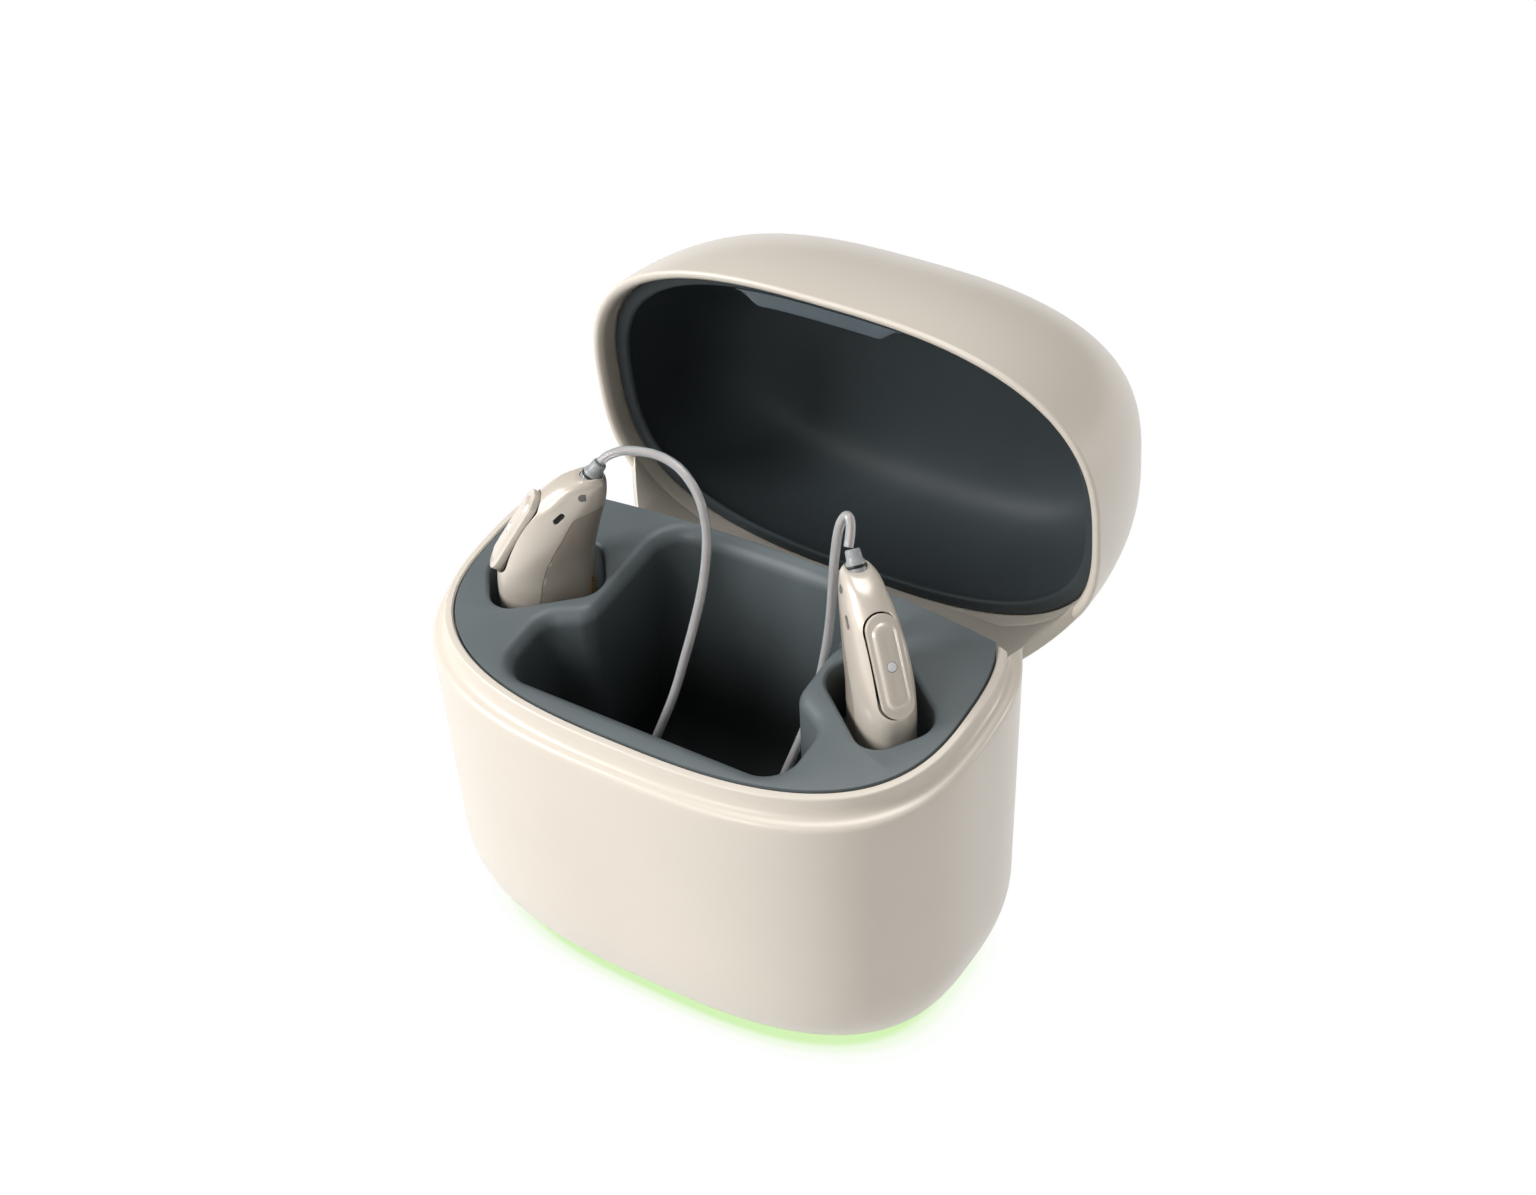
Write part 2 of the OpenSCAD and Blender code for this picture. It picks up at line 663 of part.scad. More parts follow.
charge_pin_r = 0.6;
charge_pin_x = -1.2;
charge_pin_y = 1.6;
charge_pin_up = 0.2;
charge_pin_l = 4.2;
block_h = 3.6;
block_w = 5;
block_l = 8;
block_floor = 0.8;
block_z = -aid_sink - seat * 2 - deck_t - block_h;
module pin_places() for (y = [-1, 1]) translate([charge_pin_x, y * charge_pin_y]) children();

module contact_block(side) color(rubber_grey) on_side(side) difference() {
    translate([charge_pin_x - block_w / 2, -block_l / 2, block_z]) cube([block_w, block_l, block_h]);
    translate([0, 0, block_z + block_floor]) pin_places() cylinder(r = charge_pin_r + pin_gap, h = block_h);
}

module charge_pins(side) color(gold) on_side(side)
    translate([0, 0, -aid_sink - seat + charge_pin_up - charge_pin_l])
        pin_places() cylinder(r = charge_pin_r, h = charge_pin_l);

// Sections of an aid: height, inner side, spine and thickness, as shares of its height, length and thickness
aid_section_shares = [
    [0, -0.33, 0.32, 0.55], [0.036, -0.435, 0.405, 0.80], [0.11, -0.50, 0.457, 0.95],
    [0.255, -0.52, 0.47, 1], [0.40, -0.53, 0.457, 1], [0.51, -0.55, 0.405, 1], [0.62, -0.595, 0.32, 0.97],
    [0.73, -0.65, 0.21, 0.90], [0.84, -0.71, 0.065, 0.80], [0.912, -0.73, -0.10, 0.70],
    [0.97, -0.725, -0.26, 0.60], [1, -0.68, -0.42, 0.45]];
aid_section_power = 2.4;
function aid_ring(inset, row) =
    let (z = -aid_sink + inset + row[0] * (aid_h - inset * 2), mid = (row[1] + row[2]) / 2 * aid_l,
        long = (row[2] - row[1]) / 2 * aid_l - inset, thick = row[3] * aid_t / 2 - inset)
    [for (i = [0:aid_count - 1])
        let (p = plan_point(long, thick, aid_section_power, 360 * i / aid_count)) [mid + p.x, p.y, z]];
module aid_form(inset = 0) loft([for (row = aid_section_shares) aid_ring(inset, row)]);

// The seam between the two housings, as shares of the length and the height above the foot
seam_shares = [[-0.9, 0.85], [-0.56, 0.82], [-0.38, 0.79], [-0.27, 0.70], [-0.11, 0.56], [-0.01, 0.43],
    [0.08, 0.16], [0.1, -0.1]];
seam_gap = 0.06;
module seam_side(spine) {
    line = [for (s = seam_shares) [s.x * aid_l - (spine ? 0 : seam_gap), -aid_sink + s.y * aid_h]];
    far = (spine ? 1 : -1) * aid_l;
    top = spine ? aid_h : -aid_sink + seam_shares[0].y * aid_h;
    rotate([90, 0, 0]) linear_extrude(aid_t * 2, center = true)
        polygon(concat(line, [[far, -aid_sink - aid_t], [far, top]], spine ? [[-aid_l, top]] : []));
}

// The rocker lies on the spine
rocker_place_share = 0.221;
rocker_height_share = 0.6752;
rocker_slope_share = 0.8516;
rocker_p = aid_l * rocker_place_share;
rocker_up = aid_h * rocker_height_share - aid_sink;
rocker_turn = atan(rocker_slope_share * aid_h / aid_l);
rocker_gap = 0.2;
rocker_t = 1.5;
rocker_proud = 0.55;
rocker_floor = 1.75;
rocker_ridge = 0.45;
pill_l_share = 0.86;
pill_w_share = 0.68;
belly_share = 0.8;
scoop_place_share = 0.46;
scoop_up_share = 0.55;
scoop_r_share = 0.62;
rocker_land = 1;
rocker_lift = 0.08;
module on_spine() translate([rocker_p, 0, rocker_up]) rotate([0, rocker_turn, 0]) children();

mic_l = 1.7;
mic_w = 0.6;
mic_depth = 0.8;
mic_h = 0.6;
mic_height_share = 0.81;
mic_place_share = -0.232;
mic_up = aid_h * mic_height_share - aid_sink;
mic_p = aid_l * mic_place_share;
mic_tilt = 72;
mic_turn = 40;
mic_side_share = 0.385;
module at_mics() for (y = [-1, 1]) translate([mic_p, y * aid_t * mic_side_share, mic_up])
    rotate([-y * mic_tilt, 0, 0]) rotate(mic_turn) children();

module aid_spine(side) color(ivory) on_side(side) difference() {
    intersection() {
        union() {
            difference() {
                aid_form();
                aid_form(aid_wall);
            }
            intersection() {
                aid_form();
                on_spine() translate([0, 0, -rocker_floor - aid_wall]) linear_extrude(rocker_floor + aid_wall)
                    stadium(rocker_l + rocker_land * 2, rocker_w + rocker_land * 2);
            }
        }
        seam_side(true);
    }
    on_spine() translate([0, 0, -rocker_floor]) linear_extrude(aid_t)
        stadium(rocker_l + rocker_gap * 2, rocker_w + rocker_gap * 2);
    at_mics() translate([0, 0, -mic_depth]) linear_extrude(aid_t) stadium(mic_l + seat, mic_w + seat);
    plug_axis() translate([0, 0, -plug_l]) cylinder(r = plug_r + fine_gap, h = plug_l * 3);
}

strip_height_share = 0.197;
strip_up = aid_h * strip_height_share - aid_sink;
strip_h = 3.4;
strip_w = 1.3;
strip_t = 0.35;
strip_p = -0.49 * aid_l;
module aid_side(side) color(taupe) on_side(side) difference() {
    intersection() {
        difference() {
            aid_form();
            aid_form(aid_wall);
        }
        seam_side(false);
    }
    for (y = [-1, 1]) translate([-aid_l, y * charge_pin_y - strip_w / 2 - pin_gap, strip_up - pin_gap])
        cube([aid_l + strip_p, strip_w + pin_gap * 2, strip_h + pin_gap * 2]);
    translate([0, 0, -aid_sink - over]) pin_places() cylinder(r = stud_r + pin_gap, h = cell_up + over);
    plug_axis() translate([0, 0, -plug_l]) cylinder(r = plug_r + fine_gap, h = plug_l * 3);
}

stud_r = 0.9;
module contacts(side) color(gold) on_side(side) {
    for (y = [-1, 1]) translate([strip_p - strip_t, y * charge_pin_y - strip_w / 2, strip_up])
        cube([strip_t, strip_w, strip_h]);
    translate([0, 0, -aid_sink]) pin_places() cylinder(r = stud_r, h = cell_up - seat);
}

module rocker(side) color(ivory) on_side(side) on_spine() difference() {
    union() {
        translate([0, 0, rocker_proud - rocker_t]) linear_extrude(rocker_t) stadium(rocker_l, rocker_w);
        translate([0, 0, rocker_proud]) linear_extrude(rocker_ridge)
            stadium(rocker_l * pill_l_share, rocker_w * pill_w_share);
        translate([0, 0, rocker_proud - rocker_t]) rotate([90, 0, 0])
            cylinder(r = rocker_floor + rocker_proud - rocker_t - rocker_lift,
                h = rocker_w * belly_share, center = true);
    }
    translate([0, 0, rocker_proud + rocker_ridge - lamp_t]) cylinder(r = lamp_r + pin_gap, h = rocker_t);
    for (end = [-1, 1]) translate([end * rocker_l * scoop_place_share, 0,
        rocker_proud + rocker_w * scoop_up_share]) sphere(r = rocker_w * scoop_r_share);
}

lamp_r = 0.65;
lamp_t = 0.6;
module lamp(side) color(clear_grey) on_side(side) on_spine()
    translate([0, 0, rocker_proud + rocker_ridge - lamp_t + pin_gap]) cylinder(r = lamp_r, h = lamp_t);

module mic_grilles(side) color(rubber_grey) on_side(side) at_mics()
    translate([0, 0, -mic_depth + pin_gap]) linear_extrude(mic_h) stadium(mic_l, mic_w);

// The plug leans from the aid's top toward the tube
plug_r = 1.35;
plug_l = 1.6;
plug_neck = 1.6;
plug_tip_share = 0.8;
plug_place_share = -0.587;
plug_height_share = 0.989;
plug_p = aid_l * plug_place_share;
plug_up = aid_h * plug_height_share - aid_sink;
plug_lean = -36;
module plug_axis() translate([plug_p, 0, plug_up]) rotate([0, plug_lean, 0]) children();
module plug(side) color(clear_grey) on_side(side) plug_axis() {
    translate([0, 0, -plug_l]) cylinder(r = plug_r, h = plug_l * 1.5);
    translate([0, 0, plug_l / 2]) cylinder(r1 = plug_r, r2 = tube_d * plug_tip_share, h = plug_neck, $fn = 32);
}

cell_l = 7.2;
cell_w = 3.7;
cell_h = 5.2;
cell_up = 2.4;
module cell(side) color(steel) on_side(side) translate([-cell_l / 2, -cell_w / 2, cell_up - aid_sink])
    cube([cell_l, cell_w, cell_h]);

circuit_p = -2.4;
circuit_l = 10;
circuit_w = 4.2;
circuit_t = 0.9;
circuit_lean = -14;
module circuit(side) color(board_green) on_side(side)
    translate([circuit_p, -circuit_w / 2, cell_up + cell_h + seat * 2 - aid_sink]) rotate([0, circuit_lean, 0])
        cube([circuit_t, circuit_w, circuit_l]);

// Routes of the two tubes, chosen by hand, from the deck's middle: from the plug to the receiver
left_route = [[-19.5, 3.1, 18], [-18.6, 3.9, 18.9], [-16.8, 4.8, 19.7], [-14.2, 5.4, 20.1], [-11.2, 5.7, 20.1],
    [-8.1, 5.4, 19.5], [-5.5, 4.6, 18.1], [-3.7, 3.8, 16.1], [-2.4, 2.7, 13.4], [-1.7, 1.5, 10.8], [-1.3, 0, 7.6],
    [-1.2, -1.6, 4.4], [-1.3, -3.5, 0.8], [-1.7, -5.2, -3], [-2.4, -7.2, -8], [-3.6, -9.3, -13],
    [-5.2, -11, -18], [-7.2, -12.2, -22], [-9.6, -12.8, -25.2], [-12, -13, -27], [-14.4, -13, -27.8]];
right_route = [[19.5, 3.1, 18], [19.3, 3.9, 19.3], [18.9, 4.7, 20.6], [18.2, 5.2, 21.1], [17.5, 5.2, 20.4],
    [17, 4.8, 18.6], [16.7, 4.3, 15], [16.5, 3.9, 11], [16.4, 3.5, 7], [16.2, 3, 3], [15.9, 2.2, -1],
    [15.6, 1, -5], [15.2, -0.6, -9], [14.5, -2.6, -13], [13.6, -4.8, -17], [12.8, -7.2, -21],
    [12.2, -9.4, -24], [12.2, -11.2, -26.2], [12.9, -12.4, -27.3], [14.2, -12.9, -27.6]];
receiver_r = 1.5;
receiver_l = 4.6;
dome_r = 3.2;
dome_l = 3.6;
dome_t = 0.5;

module tube_on(route) color(clear_grey) translate([0, deck_y, deck_h]) tube(route, tube_d, 8);
// At a route's end, looking along it
module at_end(route) {
    last = len(route) - 1;
    d = route[last] - route[last - 1];
    translate([0, deck_y, deck_h]) translate(route[last])
        rotate([0, acos(d.z / norm(d)), atan2(d.y, d.x)]) children();
}
module receiver(route) color(clear_grey) at_end(route) cylinder(r = receiver_r, h = receiver_l);
module dome_tip(route) color(rubber_grey) at_end(route) translate([0, 0, receiver_l + pin_gap]) rotate_extrude()
    polygon(concat(
        [for (a = [90:-15:0]) [dome_r * cos(a), dome_l * sin(a)]],
        [for (a = [0:15:75]) [(dome_r - dome_t) * cos(a), (dome_l - dome_t) * sin(a)]],
        [[dome_t, (dome_l - dome_t) * sin(75)], [dome_t, 0], [0, 0]]));

base_shell();
deck();
base_plate();
light_ring();
rubber_foot();
plate_screws();
main_board();
battery_pack();
usb_socket();
hinge_frame();
frame_screws();
hinge_pin();
hinge_springs();
catch_plate();
lid_shell();
lid_liner();
magnet_cover();
lid_magnet();
lid_hinge_arm();
arm_screws();
contact_block(-1);  // left_contact_block
charge_pins(-1);  // left_charge_pins
aid_spine(-1);  // left_aid_spine
aid_side(-1);  // left_aid_side
rocker(-1);  // left_rocker
lamp(-1);  // left_lamp
mic_grilles(-1);  // left_mic_grilles
plug(-1);  // left_plug
tube_on(left_route);  // left_tube
receiver(left_route);  // left_receiver
dome_tip(left_route);  // left_dome
contacts(-1);  // left_contacts
cell(-1);  // left_cell
circuit(-1);  // left_circuit
contact_block(1);  // right_contact_block
charge_pins(1);  // right_charge_pins
aid_spine(1);  // right_aid_spine
aid_side(1);  // right_aid_side
rocker(1);  // right_rocker
lamp(1);  // right_lamp
mic_grilles(1);  // right_mic_grilles
plug(1);  // right_plug
tube_on(right_route);  // right_tube
receiver(right_route);  // right_receiver
dome_tip(right_route);  // right_dome
contacts(1);  // right_contacts
cell(1);  // right_cell
circuit(1);  // right_circuit
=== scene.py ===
import json
from math import acos, asin, atan2, cos, degrees, hypot, pi, radians, sin, sqrt, tan

import bmesh
import bpy
from mathutils import Matrix, Vector


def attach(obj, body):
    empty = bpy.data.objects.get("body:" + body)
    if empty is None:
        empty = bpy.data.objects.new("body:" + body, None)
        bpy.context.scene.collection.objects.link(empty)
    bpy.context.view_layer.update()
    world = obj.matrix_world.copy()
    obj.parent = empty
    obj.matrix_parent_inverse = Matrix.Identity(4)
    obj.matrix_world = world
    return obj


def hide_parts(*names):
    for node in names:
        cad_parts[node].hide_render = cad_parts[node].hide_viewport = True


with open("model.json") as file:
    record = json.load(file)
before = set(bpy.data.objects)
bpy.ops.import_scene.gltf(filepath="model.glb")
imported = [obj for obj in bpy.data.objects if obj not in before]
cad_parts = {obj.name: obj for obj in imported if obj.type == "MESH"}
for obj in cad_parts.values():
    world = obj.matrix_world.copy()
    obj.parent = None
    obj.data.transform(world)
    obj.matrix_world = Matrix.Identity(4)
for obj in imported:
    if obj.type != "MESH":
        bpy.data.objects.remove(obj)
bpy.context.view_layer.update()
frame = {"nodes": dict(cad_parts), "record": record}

# Sizes and places are in millimetres unless they say otherwise
MM = 0.001

# The case, as the solids have it
HALF_W, HALF_D, POWER = 41.5, 27.3, 2.75
DECK_H, DECK_Y, DECK_T, SLOPE = 54.0, -0.8, 2.0, radians(8)
BACK_Y, BACK_ARC = DECK_Y + 15.8 * cos(SLOPE), 250.0
DECK_INSET, POCKET_INSET, POCKET_WALL = 3.3, 3.35, 1.2
HOLLOW_BACK, HOLLOW_RAMP, HOLLOW_FLOOR, WELL_FLOOR = 13.2, 6.5, 20.0, 44.4
FOOT_W, FOOT_H, FOOT_IN_W, DRAFT, FOOT_GAP, WALL = 10.0, 15.0, 9.5, 0.5, 0.9, 2.4
SHOULDER, SHOULDER_R = 3.05, 0.85
NECK_IN, NECK_W, NECK_R, NECK_DROP = 1.9, 1.15, 0.3, 0.1
FLARE = SHOULDER * 0.5
PORT_W, PORT_H, PORT_Z = 9.4, 3.6, 8.85

# The lid, its hinge and the notch in the case's back wall for its flap
HINGE_Y, HINGE_Z, LID_TURN = 20.5, 41.8, radians(92)
LID_H, LID_POWER, LID_WALL = 34.0, 3.4, 2.0
RIM_DROP, RIM_R, RIM_W = SHOULDER - 0.3, 0.5, NECK_IN - 0.35
LINER_DROP, LINER_T, SEAT_GAP = RIM_DROP - 3.4, 0.9, 0.25
NOTCH_HALF, NOTCH_R, NOTCH_GAP = 33.3, 7.0, 0.5
NOTCH_Z, NOTCH_Y = HINGE_Z - (HALF_D - HINGE_Y) - NOTCH_GAP, BACK_Y - DECK_T
FLARE_W, FLARE_UP, FLARE_TURN = 9.0, 7.8, radians(18)

# How far a slope of 45 degrees sinks to move outward by one
DIAGONAL = 1.414

# The wells and the hearing aids
WELL_X, WELL_Y, WELL_TURN = 27.3, DECK_Y - 2.4 * cos(SLOPE), radians(38)
WELL_ROOM_L, WELL_ROOM_T, WELL_SHIFT, WELL_R = 2.6, 3.0, 0.5, 3.6
AID_H, AID_L, AID_T, AID_SINK, AID_SHELL = 25.2, 13.8, 8.0, 9.0, 0.9

# Far enough for a cut to go right through
PAST = 60.0


def deck_z(y):
    return DECK_H + (y - DECK_Y) * tan(SLOPE)


WELL_Z = deck_z(WELL_Y)


# Camera at the photograph's viewing angle
PHOTO_W, FOCAL_PX, SENSOR_W = 1536, 2300, 36
CAMERA_AZ, CAMERA_EL, CAMERA_ROLL = radians(34.11), radians(38.22), radians(-2.94)
CAMERA_TARGET, CAMERA_DISTANCE, CLIP_START = Vector((3.28, 7.36, 54.0)), 315.07, 10.0


def make_camera():
    az, el, roll = CAMERA_AZ, CAMERA_EL, CAMERA_ROLL
    back = Vector((sin(az) * cos(el), -cos(az) * cos(el), sin(el)))
    right = Vector((cos(az), sin(az), 0))
    up = back.cross(right)
    right, up = right * cos(roll) + up * sin(roll), up * cos(roll) - right * sin(roll)
    data = bpy.data.cameras.new("camera")
    data.lens = FOCAL_PX / PHOTO_W * SENSOR_W
    data.clip_start = CLIP_START * MM
    cam = bpy.data.objects.new("camera", data)
    place = Matrix((right, up, back)).transposed().to_4x4()
    place.translation = CAMERA_TARGET * MM + back * (CAMERA_DISTANCE * MM)
    cam.matrix_world = place
    bpy.context.scene.collection.objects.link(cam)
    bpy.context.scene.camera = cam


make_camera()


# Nodes that the materials are made of
def new_material(name):
    mat = bpy.data.materials.new(name)
    mat.use_nodes = True
    tree = mat.node_tree
    return mat, tree, tree.nodes["Principled BSDF"]


def calculated(tree, how, a, b):
    node = tree.nodes.new("ShaderNodeMath")
    node.operation = how
    for socket, value in zip(node.inputs, (a, b)):
        if isinstance(value, (int, float)):
            socket.default_value = value
        else:
            tree.links.new(value, socket)
    return node.outputs[0]


def object_axes(tree):
    coord = tree.nodes.new("ShaderNodeTexCoord")
    apart = tree.nodes.new("ShaderNodeSeparateXYZ")
    tree.links.new(coord.outputs["Object"], apart.inputs[0])
    return apart.outputs


def noise(tree, scale, detail=3.0):
    coord = tree.nodes.new("ShaderNodeTexCoord")
    node = tree.nodes.new("ShaderNodeTexNoise")
    node.inputs["Scale"].default_value = scale
    node.inputs["Detail"].default_value = detail
    tree.links.new(coord.outputs["Object"], node.inputs["Vector"])
    return node.outputs["Fac"]


def spread(tree, source, start, end, low=0.0, high=1.0):
    """The source, from start to end, spread from low to high."""
    node = tree.nodes.new("ShaderNodeMapRange")
    for key, value in (("From Min", start), ("From Max", end), ("To Min", low), ("To Max", high)):
        node.inputs[key].default_value = value
    tree.links.new(source, node.inputs["Value"])
    return node.outputs["Result"]


def tinted(tree, source, a, b):
    ramp = tree.nodes.new("ShaderNodeValToRGB")
    for stop, place, color in zip(ramp.color_ramp.elements, (0.35, 0.65), (a, b)):
        stop.position = place
        stop.color = (*color, 1)
    tree.links.new(source, ramp.inputs["Fac"])
    return ramp.outputs["Color"]


BUMP_STRENGTH, GLOSS_CLOUDS, GRAIN_DETAIL = 0.35, 6, 2.0


def surface(name, color, vary, rough, grain, depth, cloud, **fixed):
    """A moulded or metal surface.

    The colour varies by a share in clouds of one scale, the roughness between two values in finer
    clouds, and a grain of its own scale and depth, in metres, gives the bump.
    """
    mat, tree, shader = new_material(name)
    low = [c * (1 - vary) for c in color]
    high = [min(1, c * (1 + vary)) for c in color]
    tree.links.new(tinted(tree, noise(tree, cloud), low, high), shader.inputs["Base Color"])
    gloss = noise(tree, cloud * GLOSS_CLOUDS)
    tree.links.new(spread(tree, gloss, 0, 1, *rough), shader.inputs["Roughness"])
    bump = tree.nodes.new("ShaderNodeBump")
    bump.inputs["Strength"].default_value = BUMP_STRENGTH
    bump.inputs["Distance"].default_value = depth
    tree.links.new(noise(tree, grain, GRAIN_DETAIL), bump.inputs["Height"])
    tree.links.new(bump.outputs["Normal"], shader.inputs["Normal"])
    for key, value in fixed.items():
        shader.inputs[key.replace("_", " ")].default_value = value
    return mat


# Painted shade in the pockets: the depths under the deck's plane where it is darkest and palest, and its
# darkest share
DARKEST_AT, PALEST_AT, DARKEST_SHARE = 27, 3, 0.14


def painted_pocket_shade(mat):
    """Painted shade: the pockets' lining darkens with its depth under the sloping deck, where shade falls in
    them.
    """
    tree = mat.node_tree
    shader = tree.nodes["Principled BSDF"]
    link = shader.inputs["Base Color"].links[0]
    axes = object_axes(tree)
    sloping = calculated(tree, "MULTIPLY", axes[1], tan(SLOPE))
    height = calculated(tree, "SUBTRACT", axes[2], sloping)
    start, end = (DECK_H - DARKEST_AT) * MM, (DECK_H - PALEST_AT) * MM
    mix = tree.nodes.new("ShaderNodeMix")
    mix.data_type = "RGBA"
    mix.blend_type = "MULTIPLY"
    mix.inputs["Factor"].default_value = 1.0
    tree.links.new(link.from_socket, mix.inputs["A"])
    tree.links.new(spread(tree, height, start, end, DARKEST_SHARE), mix.inputs["B"])
    tree.links.new(mix.outputs["Result"], shader.inputs["Base Color"])
    return mat


GLOW_DIM, GLOW_BRIGHT, GLOW_CLOUDS = (0.22, 0.85, 0.10), (0.32, 0.95, 0.16), 80
GLOW_STRENGTH, GLOW_ROUGH = 0.9, 0.35


def glow_material():
    mat, tree, shader = new_material("green_light")
    color = tinted(tree, noise(tree, GLOW_CLOUDS), GLOW_DIM, GLOW_BRIGHT)
    tree.links.new(color, shader.inputs["Base Color"])
    tree.links.new(color, shader.inputs["Emission Color"])
    shader.inputs["Emission Strength"].default_value = GLOW_STRENGTH
    shader.inputs["Roughness"].default_value = GLOW_ROUGH
    return mat


# Materials of the case
IVORY = surface("ivory_plastic", (0.80, 0.735, 0.645), 0.012, (0.30, 0.36), 2600, 0.000006, 45,
                Coat_Weight=0.25, Coat_Roughness=0.22)
SLATE = surface("slate_plastic", (0.118, 0.150, 0.170), 0.05, (0.42, 0.52), 5200, 0.00002, 90,
                Specular_IOR_Level=0.42)
LINER_SLATE = surface("liner_plastic", (0.056, 0.069, 0.076), 0.03, (0.46, 0.54), 5200, 0.00002, 90,
                      Specular_IOR_Level=0.2)
# The deck's slate, with shade painted darker into the hollow and the wells
DECK_SLATE_PAINTED_SHADE = painted_pocket_shade(surface("deck_plastic_painted_shade", (0.135, 0.160, 0.170), 0.03, (0.36, 0.44), 5200, 0.000015, 90,
                              Specular_IOR_Level=0.45))
RUBBER = surface("dark_rubber", (0.018, 0.018, 0.019), 0.1, (0.6, 0.75), 2400, 0.00003, 80)
STEEL = surface("bare_steel", (0.60, 0.61, 0.63), 0.04, (0.22, 0.36), 1800, 0.00001, 120, Metallic=1.0)
BOARD = surface("circuit_board", (0.012, 0.085, 0.04), 0.2, (0.35, 0.5), 900, 0.00003, 160)
FOIL = surface("battery_foil", (0.52, 0.53, 0.55), 0.05, (0.25, 0.4), 700, 0.00003, 90, Metallic=0.9)
BLACK = surface("black_plastic", (0.010, 0.010, 0.011), 0.1, (0.35, 0.5), 3000, 0.00002, 100)
GOLD = surface("gold_plate", (0.78, 0.50, 0.19), 0.05, (0.16, 0.26), 2500, 0.000006, 150, Metallic=1.0)
GLOW = glow_material()

# Materials of the hearing aids
CHAMPAGNE = surface("champagne_lacquer", (0.76, 0.69, 0.60), 0.012, (0.26, 0.32), 5200, 0.000004, 60,
                    Metallic=0.2, Coat_Weight=0.45, Coat_Roughness=0.14)
TAUPE = surface("taupe_lacquer", (0.50, 0.44, 0.375), 0.015, (0.28, 0.34), 5200, 0.000004, 60,
                Metallic=0.2, Coat_Weight=0.4, Coat_Roughness=0.16)
LENS = surface("lamp_lens", (0.80, 0.81, 0.82), 0.03, (0.2, 0.3), 3000, 0.000005, 200, Coat_Weight=0.4)
SMOKE = surface("grey_window", (0.20, 0.19, 0.18), 0.08, (0.2, 0.3), 3000, 0.000005, 200)
DOME = surface("soft_dome", (0.10, 0.10, 0.11), 0.1, (0.4, 0.5), 3000, 0.00001, 150, Transmission_Weight=0.3)
COPPER = surface("copper_wire", (0.60, 0.36, 0.25), 0.1, (0.25, 0.4), 3000, 0.000005, 300, Metallic=0.8)
CLEAR = surface("clear_tube", (0.80, 0.82, 0.84), 0.03, (0.10, 0.18), 3000, 0.000004, 200,
                Transmission_Weight=0.55, IOR=1.4, Coat_Weight=0.4)
FROST = surface("clear_plug", (0.60, 0.63, 0.64), 0.04, (0.18, 0.28), 3000, 0.000005, 200,
                Transmission_Weight=0.4, IOR=1.4)


# Meshes
def new_mesh(name, points, faces, scale=MM):
    mesh = bpy.data.meshes.new(name)
    mesh.from_pydata([[c * scale for c in p] for p in points], [], faces)
    mesh.validate()
    obj = bpy.data.objects.new(name, mesh)
    bpy.context.scene.collection.objects.link(obj)
    return obj


def tidy_normals(obj):
    bm = bmesh.new()
    bm.from_mesh(obj.data)
    bmesh.ops.remove_doubles(bm, verts=bm.verts, dist=1e-7)
    bmesh.ops.recalc_face_normals(bm, faces=bm.faces)
    bm.to_mesh(obj.data)
    bm.free()
    return obj


def loft(name, rings):
    """A closed skin over rings of equally many points, capped at both ends."""
    n = len(rings[0])
    points = [p for ring in rings for p in ring]
    faces = [[i * n + j, i * n + (j + 1) % n, (i + 1) * n + (j + 1) % n, (i + 1) * n + j]
             for i in range(len(rings) - 1) for j in range(n)]
    for end in (0, 1):
        base = end * (len(rings) - 1) * n
        points.append([sum(c) / n for c in zip(*rings[-end])])
        middle = len(points) - 1
        faces += [[middle, base + (j + 1 - end) % n, base + (j + end) % n] for j in range(n)]
    return tidy_normals(new_mesh(name, points, faces))


def prism(outline, ends, put=lambda p: p):
    """An outline drawn out between two heights, each point then put in its place."""
    return loft("prism", [[put((x, y, z)) for x, y in outline] for z in ends])


def upright(p):
    """Stands a point up, so that its outline lies in X and Z and is drawn out along Y."""
    return p[0], p[2], p[1]


def baked(obj):
    """Its modifiers become its mesh."""
    graph = bpy.context.evaluated_depsgraph_get()
    graph.update()
    mesh = bpy.data.meshes.new_from_object(obj.evaluated_get(graph))
    old = obj.data
    obj.modifiers.clear()
    obj.data = mesh
    bpy.data.meshes.remove(old)


def boolean(obj, other, how="DIFFERENCE"):
    """Cuts, joins or keeps what lies in the other piece, which is then gone."""
    mod = obj.modifiers.new("boolean", "BOOLEAN")
    mod.operation = how
    mod.solver = "EXACT"
    mod.object = other
    baked(obj)
    bpy.data.objects.remove(other)


def bevel(obj, width, angle):
    mod = obj.modifiers.new("edge", "BEVEL")
    mod.width = width * MM
    mod.segments = 2
    mod.limit_method = "ANGLE"
    mod.angle_limit = radians(angle)
    mod.use_clamp_overlap = True
    baked(obj)


def dress(obj, body, mat, nodes=(), sharp=40):
    obj.data.shade_smooth()
    obj.data.set_sharp_from_angle(angle=radians(sharp))
    obj.data.materials.clear()
    obj.data.materials.append(mat)
    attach(obj, body)
    if nodes:
        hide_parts(*nodes)


# Outlines
COUNT = 240


def plan_point(half_x, half_y, power, t):
    c, s = cos(t), sin(t)
    m = (abs(c) ** power + abs(s) ** power) ** (-1 / power)
    return half_x * m * c, half_y * m * s


def plan(inset):
    """The case's own outline, drawn in."""
    return [plan_point(HALF_W - inset, HALF_D - inset, POWER, 2 * pi * i / COUNT) for i in range(COUNT)]


def plan_y(x, inset):
    """How far from the middle the drawn-in outline is at a place across it."""
    return (HALF_D - inset) * (1 - (abs(x) / (HALF_W - inset)) ** POWER) ** (1 / POWER)


def back_limit(x):
    """The deck's back edge, a shallow arc."""
    return BACK_Y - BACK_ARC + sqrt(BACK_ARC ** 2 - x ** 2)


def level(outline, z):
    return [(x, y, z) for x, y in outline]


def on_deck(outline, drop):
    return [(x, y, deck_z(y) - drop) for x, y in outline]


def deck_ring(inset, drop):
    return on_deck(plan(inset), drop)


